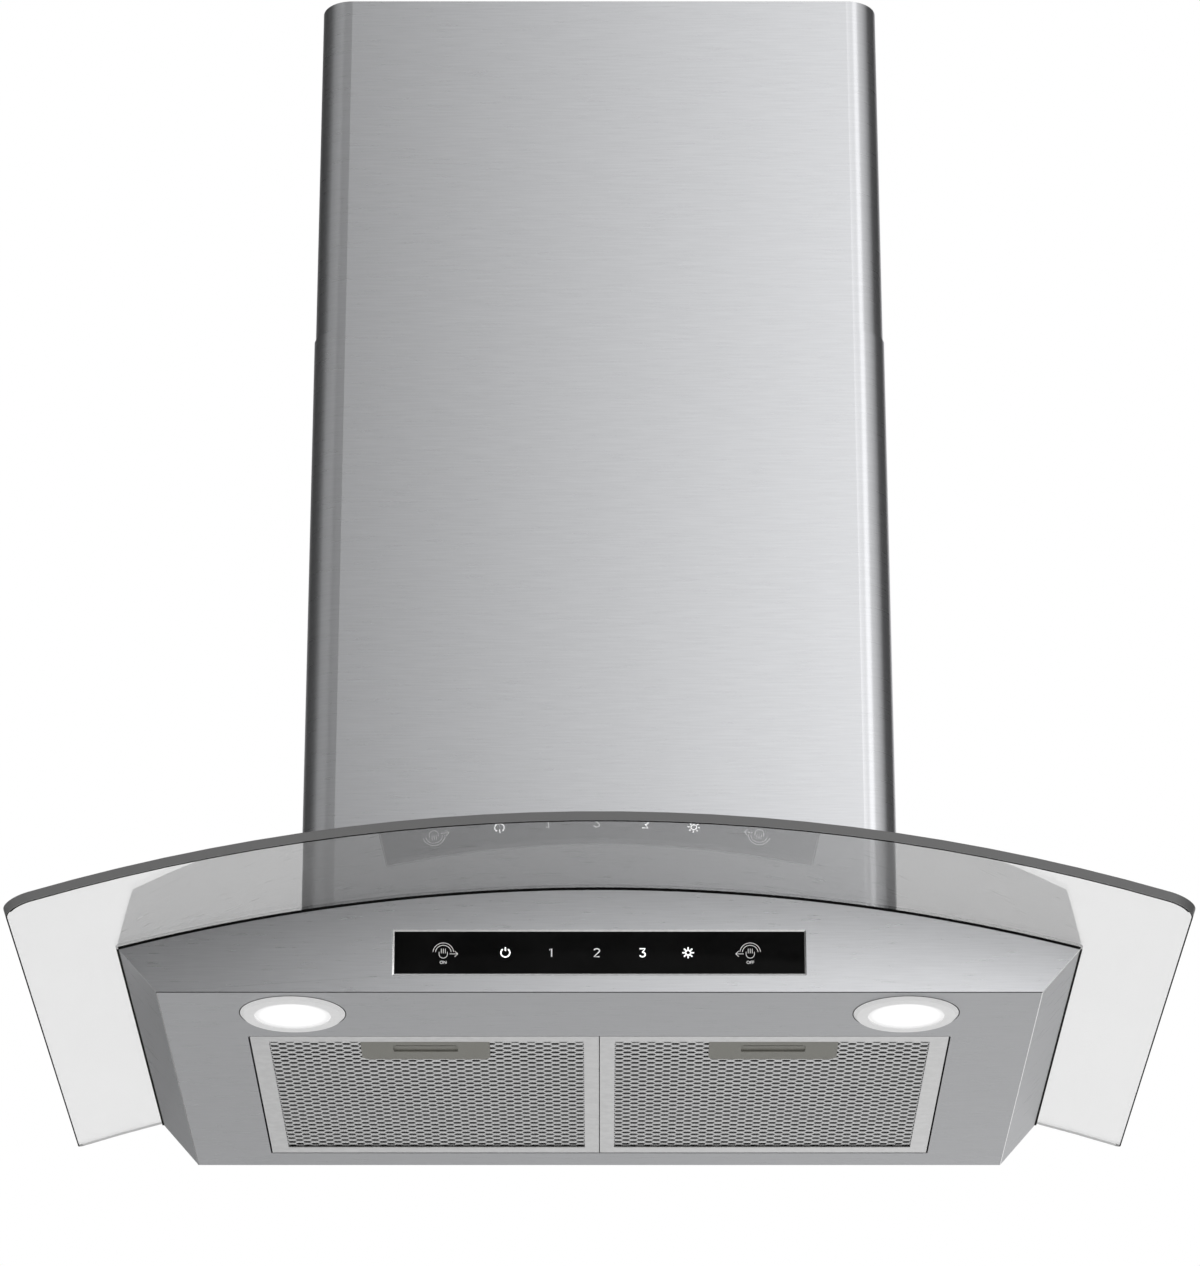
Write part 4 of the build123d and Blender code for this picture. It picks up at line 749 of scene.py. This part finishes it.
def card(name, corners, material):
    """Flat stage piece through four corners."""
    mesh = bpy.data.meshes.new(name)
    mesh.from_pydata(corners, [], [(0, 1, 2, 3)])
    mesh.materials.append(material)
    piece = bpy.data.objects.new(name, mesh)
    bpy.context.scene.collection.objects.link(piece)
    return piece


def reflection_card(name, first, last, top, material):
    """Card from the floor between two points in plan, up to a top line, seen by reflections alone."""
    corners = [(*first, FLOOR_Z), (*last, FLOOR_Z), *top]
    piece = card(name, corners, material)
    piece.visible_camera = False
    piece.visible_diffuse = False
    piece.visible_shadow = False


def floor_finish():
    """Pale matt floor below the hood that runs out into the white of the surround."""
    material, tree, shader = new_material("floor_finish")
    tone = noise(tree, (1.5, 1.5, 1.5))
    tree.links.new(ramp(tree, tone, (0.3, 0.78), (0.7, 0.82)), shader.inputs["Base Color"])
    shader.inputs["Roughness"].default_value = 0.8
    place = tree.nodes.new("ShaderNodeTexCoord")
    plan = tree.nodes.new("ShaderNodeVectorMath")
    plan.operation = "MULTIPLY"
    plan.inputs[1].default_value = (1.0, 1.0, 0.0)
    away = tree.nodes.new("ShaderNodeVectorMath")
    away.operation = "LENGTH"
    tree.links.new(place.outputs["Object"], plan.inputs[0])
    tree.links.new(plan.outputs["Vector"], away.inputs[0])
    fade = between(tree, away.outputs["Value"], 0.0, 1.0, FLOOR_SHADE_END, FLOOR_WHITE_START)
    white = tree.nodes.new("ShaderNodeEmission")
    white.inputs["Color"].default_value = (1.0, 1.0, 1.0, 1.0)
    whiteness = calculate(tree, "MULTIPLY", fade, seen(tree))
    blend(tree, whiteness, shader.outputs["BSDF"], white.outputs["Emission"])
    return material


def card_finish(name, axis, *stops, foot=1.0, mirrors=1):
    """Light of a card that changes along X or Y between stops in metres, has a share of it near the floor,
    is dimmer near its top and shows only after the given number of reflections."""
    material, tree, shader = new_material(name)
    place = tree.nodes.new("ShaderNodeTexCoord")
    axes = tree.nodes.new("ShaderNodeSeparateXYZ")
    tree.links.new(place.outputs["Object"], axes.inputs["Vector"])
    first, last = stops[0][0], stops[-1][0]
    along = between(tree, axes.outputs[axis], 0.0, 1.0, first, last)
    shares = [((metres - first) / (last - first), level / CARD_STRENGTH) for metres, level in stops]
    tree.links.new(ramp(tree, along, *shares), shader.inputs["Emission Color"])
    height = axes.outputs["Z"]
    rising = between(tree, height, CARD_STRENGTH * foot, CARD_STRENGTH, CARD_RISE_LOW, CARD_RISE_HIGH)
    falling = between(tree, height, CARD_STRENGTH, CARD_STRENGTH * CARD_FADE, CARD_FADE_LOW, CARD_FADE_HIGH)
    tree.links.new(calculate(tree, "MINIMUM", rising, falling), shader.inputs["Emission Strength"])
    shader.inputs["Base Color"].default_value = (0.0, 0.0, 0.0, 1.0)
    shader.inputs["Specular IOR Level"].default_value = 0.0
    path = tree.nodes.new("ShaderNodeLightPath")
    mirrored = calculate(tree, "GREATER_THAN", path.outputs["Glossy Depth"], mirrors - 0.5)
    clear = tree.nodes.new("ShaderNodeBsdfTransparent")
    blend(tree, mirrored, clear.outputs["BSDF"], shader.outputs["BSDF"])
    return material


half = FLOOR_SIZE / 2
card(
    "floor",
    [(-half, -half, FLOOR_Z), (half, -half, FLOOR_Z), (half, half, FLOOR_Z), (-half, half, FLOOR_Z)],
    floor_finish(),
)
front_light = card_finish(
    "front_card_light", "X",
    (-CARD_X, 0.4), (-2.9, 0.27), (-1.2, 0.36), (-0.75, 0.24), (-0.45, 0.54), (0.0, 0.96),
    (0.45, 1.41), (0.8, 1.78), (1.05, 1.84), (1.3, 1.46), (2.4, 1.42), (2.7, 1.98), (CARD_X, 1.9),
    foot=FRONT_CARD_FOOT,
)
left_light = card_finish(
    "left_card_light", "Y",
    (CARD_FRONT, 0.4), (-2.0, 0.4), (-1.2, 0.24), (-0.2, 0.12), (0.8, 0.08), (CARD_REAR, 0.06),
)
right_light = card_finish(
    "right_card_light", "Y",
    (CARD_FRONT, 1.2), (-2.5, 0.82), (-1.2, 0.52), (-0.2, 0.15), (0.8, 0.1), (CARD_REAR, 0.08),
)
rear_light = card_finish(
    "rear_card_light", "X",
    (-CARD_X, 0.2), (-2.0, 0.3), (-1.0, 0.14), (-0.5, 0.28), (0.0, 0.57),
    (0.6, 0.88), (1.2, 0.9), (2.0, 0.95), (CARD_X, 0.6),
)
low_light = card_finish(
    "low_card_light", "X",
    (-CARD_X, 0.03), (-0.36, 0.03), (-0.2, 0.12), (0.25, 0.16), (0.36, 0.08), (CARD_X, 0.08), mirrors=2,
)
corners = {
    "front_left": (-CARD_X, CARD_FRONT),
    "front_right": (CARD_X, CARD_FRONT),
    "rear_right": (CARD_X, CARD_REAR),
    "rear_left": (-CARD_X, CARD_REAR),
}
for name, first, last, light in (
    ("front_card", "front_left", "front_right", front_light),
    ("right_card", "front_right", "rear_right", right_light),
    ("rear_card", "rear_right", "rear_left", rear_light),
    ("left_card", "rear_left", "front_left", left_light),
):
    top = [(*corners[last], CARD_TOP), (*corners[first], CARD_TOP)]
    reflection_card(name, corners[first], corners[last], top, light)
reflection_card(
    "low_card",
    (-LOW_CARD_REACH, LOW_CARD_NEAR),
    (LOW_CARD_REACH, LOW_CARD_NEAR),
    [(way * LOW_CARD_REACH, LOW_CARD_FAR, FLOOR_Z + LOW_CARD_RISE) for way in (1, -1)],
    low_light,
)


def world_light():
    """White to the eye, to mirrors and through glass; a softer white for what it lights."""
    world = bpy.data.worlds.new("studio")
    world.use_nodes = True
    tree = world.node_tree
    tree.nodes.clear()
    tree.nodes.new("ShaderNodeOutputWorld")
    lights = []
    for strength in (WORLD_LIGHT, WORLD_WHITE):
        light = tree.nodes.new("ShaderNodeBackground")
        light.inputs["Color"].default_value = (1.0, 1.0, 1.0, 1.0)
        light.inputs["Strength"].default_value = strength
        lights.append(light.outputs["Background"])
    blend(tree, seen(tree), *lights)
    bpy.context.scene.world = world


def soft_lamp(name, place, turn, size, power):
    """Large soft lamp that shows in no reflection."""
    light = bpy.data.lights.new(name, "AREA")
    light.size = size
    light.energy = power
    lamp = bpy.data.objects.new(name, light)
    lamp.location = place
    lamp.rotation_euler = [radians(angle) for angle in turn]
    lamp.visible_glossy = False
    lamp.visible_transmission = False
    bpy.context.scene.collection.objects.link(lamp)


world_light()
soft_lamp("key_lamp", place=(-1.2, -2.6, 2.6), turn=(45.0, 0.0, -25.0), size=2.0, power=45.0)


# Camera at the photo's viewing angle
LENS_MM = 143.29
SENSOR_MM = 36.0
LENS_SHIFT = 0.0005
CAMERA_PLACE = (0.0, -3.46545, -1.19995)
CAMERA_TILT = 113.17
FAR_CLIP = 100.0


def photo_camera():
    """Long lens from below, square to the wall."""
    data = bpy.data.cameras.new("photo_camera")
    data.lens = LENS_MM
    data.sensor_width = SENSOR_MM
    data.shift_x = LENS_SHIFT
    data.clip_end = FAR_CLIP
    camera = bpy.data.objects.new("photo_camera", data)
    camera.location = CAMERA_PLACE
    camera.rotation_euler = (radians(CAMERA_TILT), 0.0, 0.0)
    bpy.context.scene.collection.objects.link(camera)
    bpy.context.scene.camera = camera


photo_camera()
bpy.context.scene.view_settings.view_transform = "Standard"
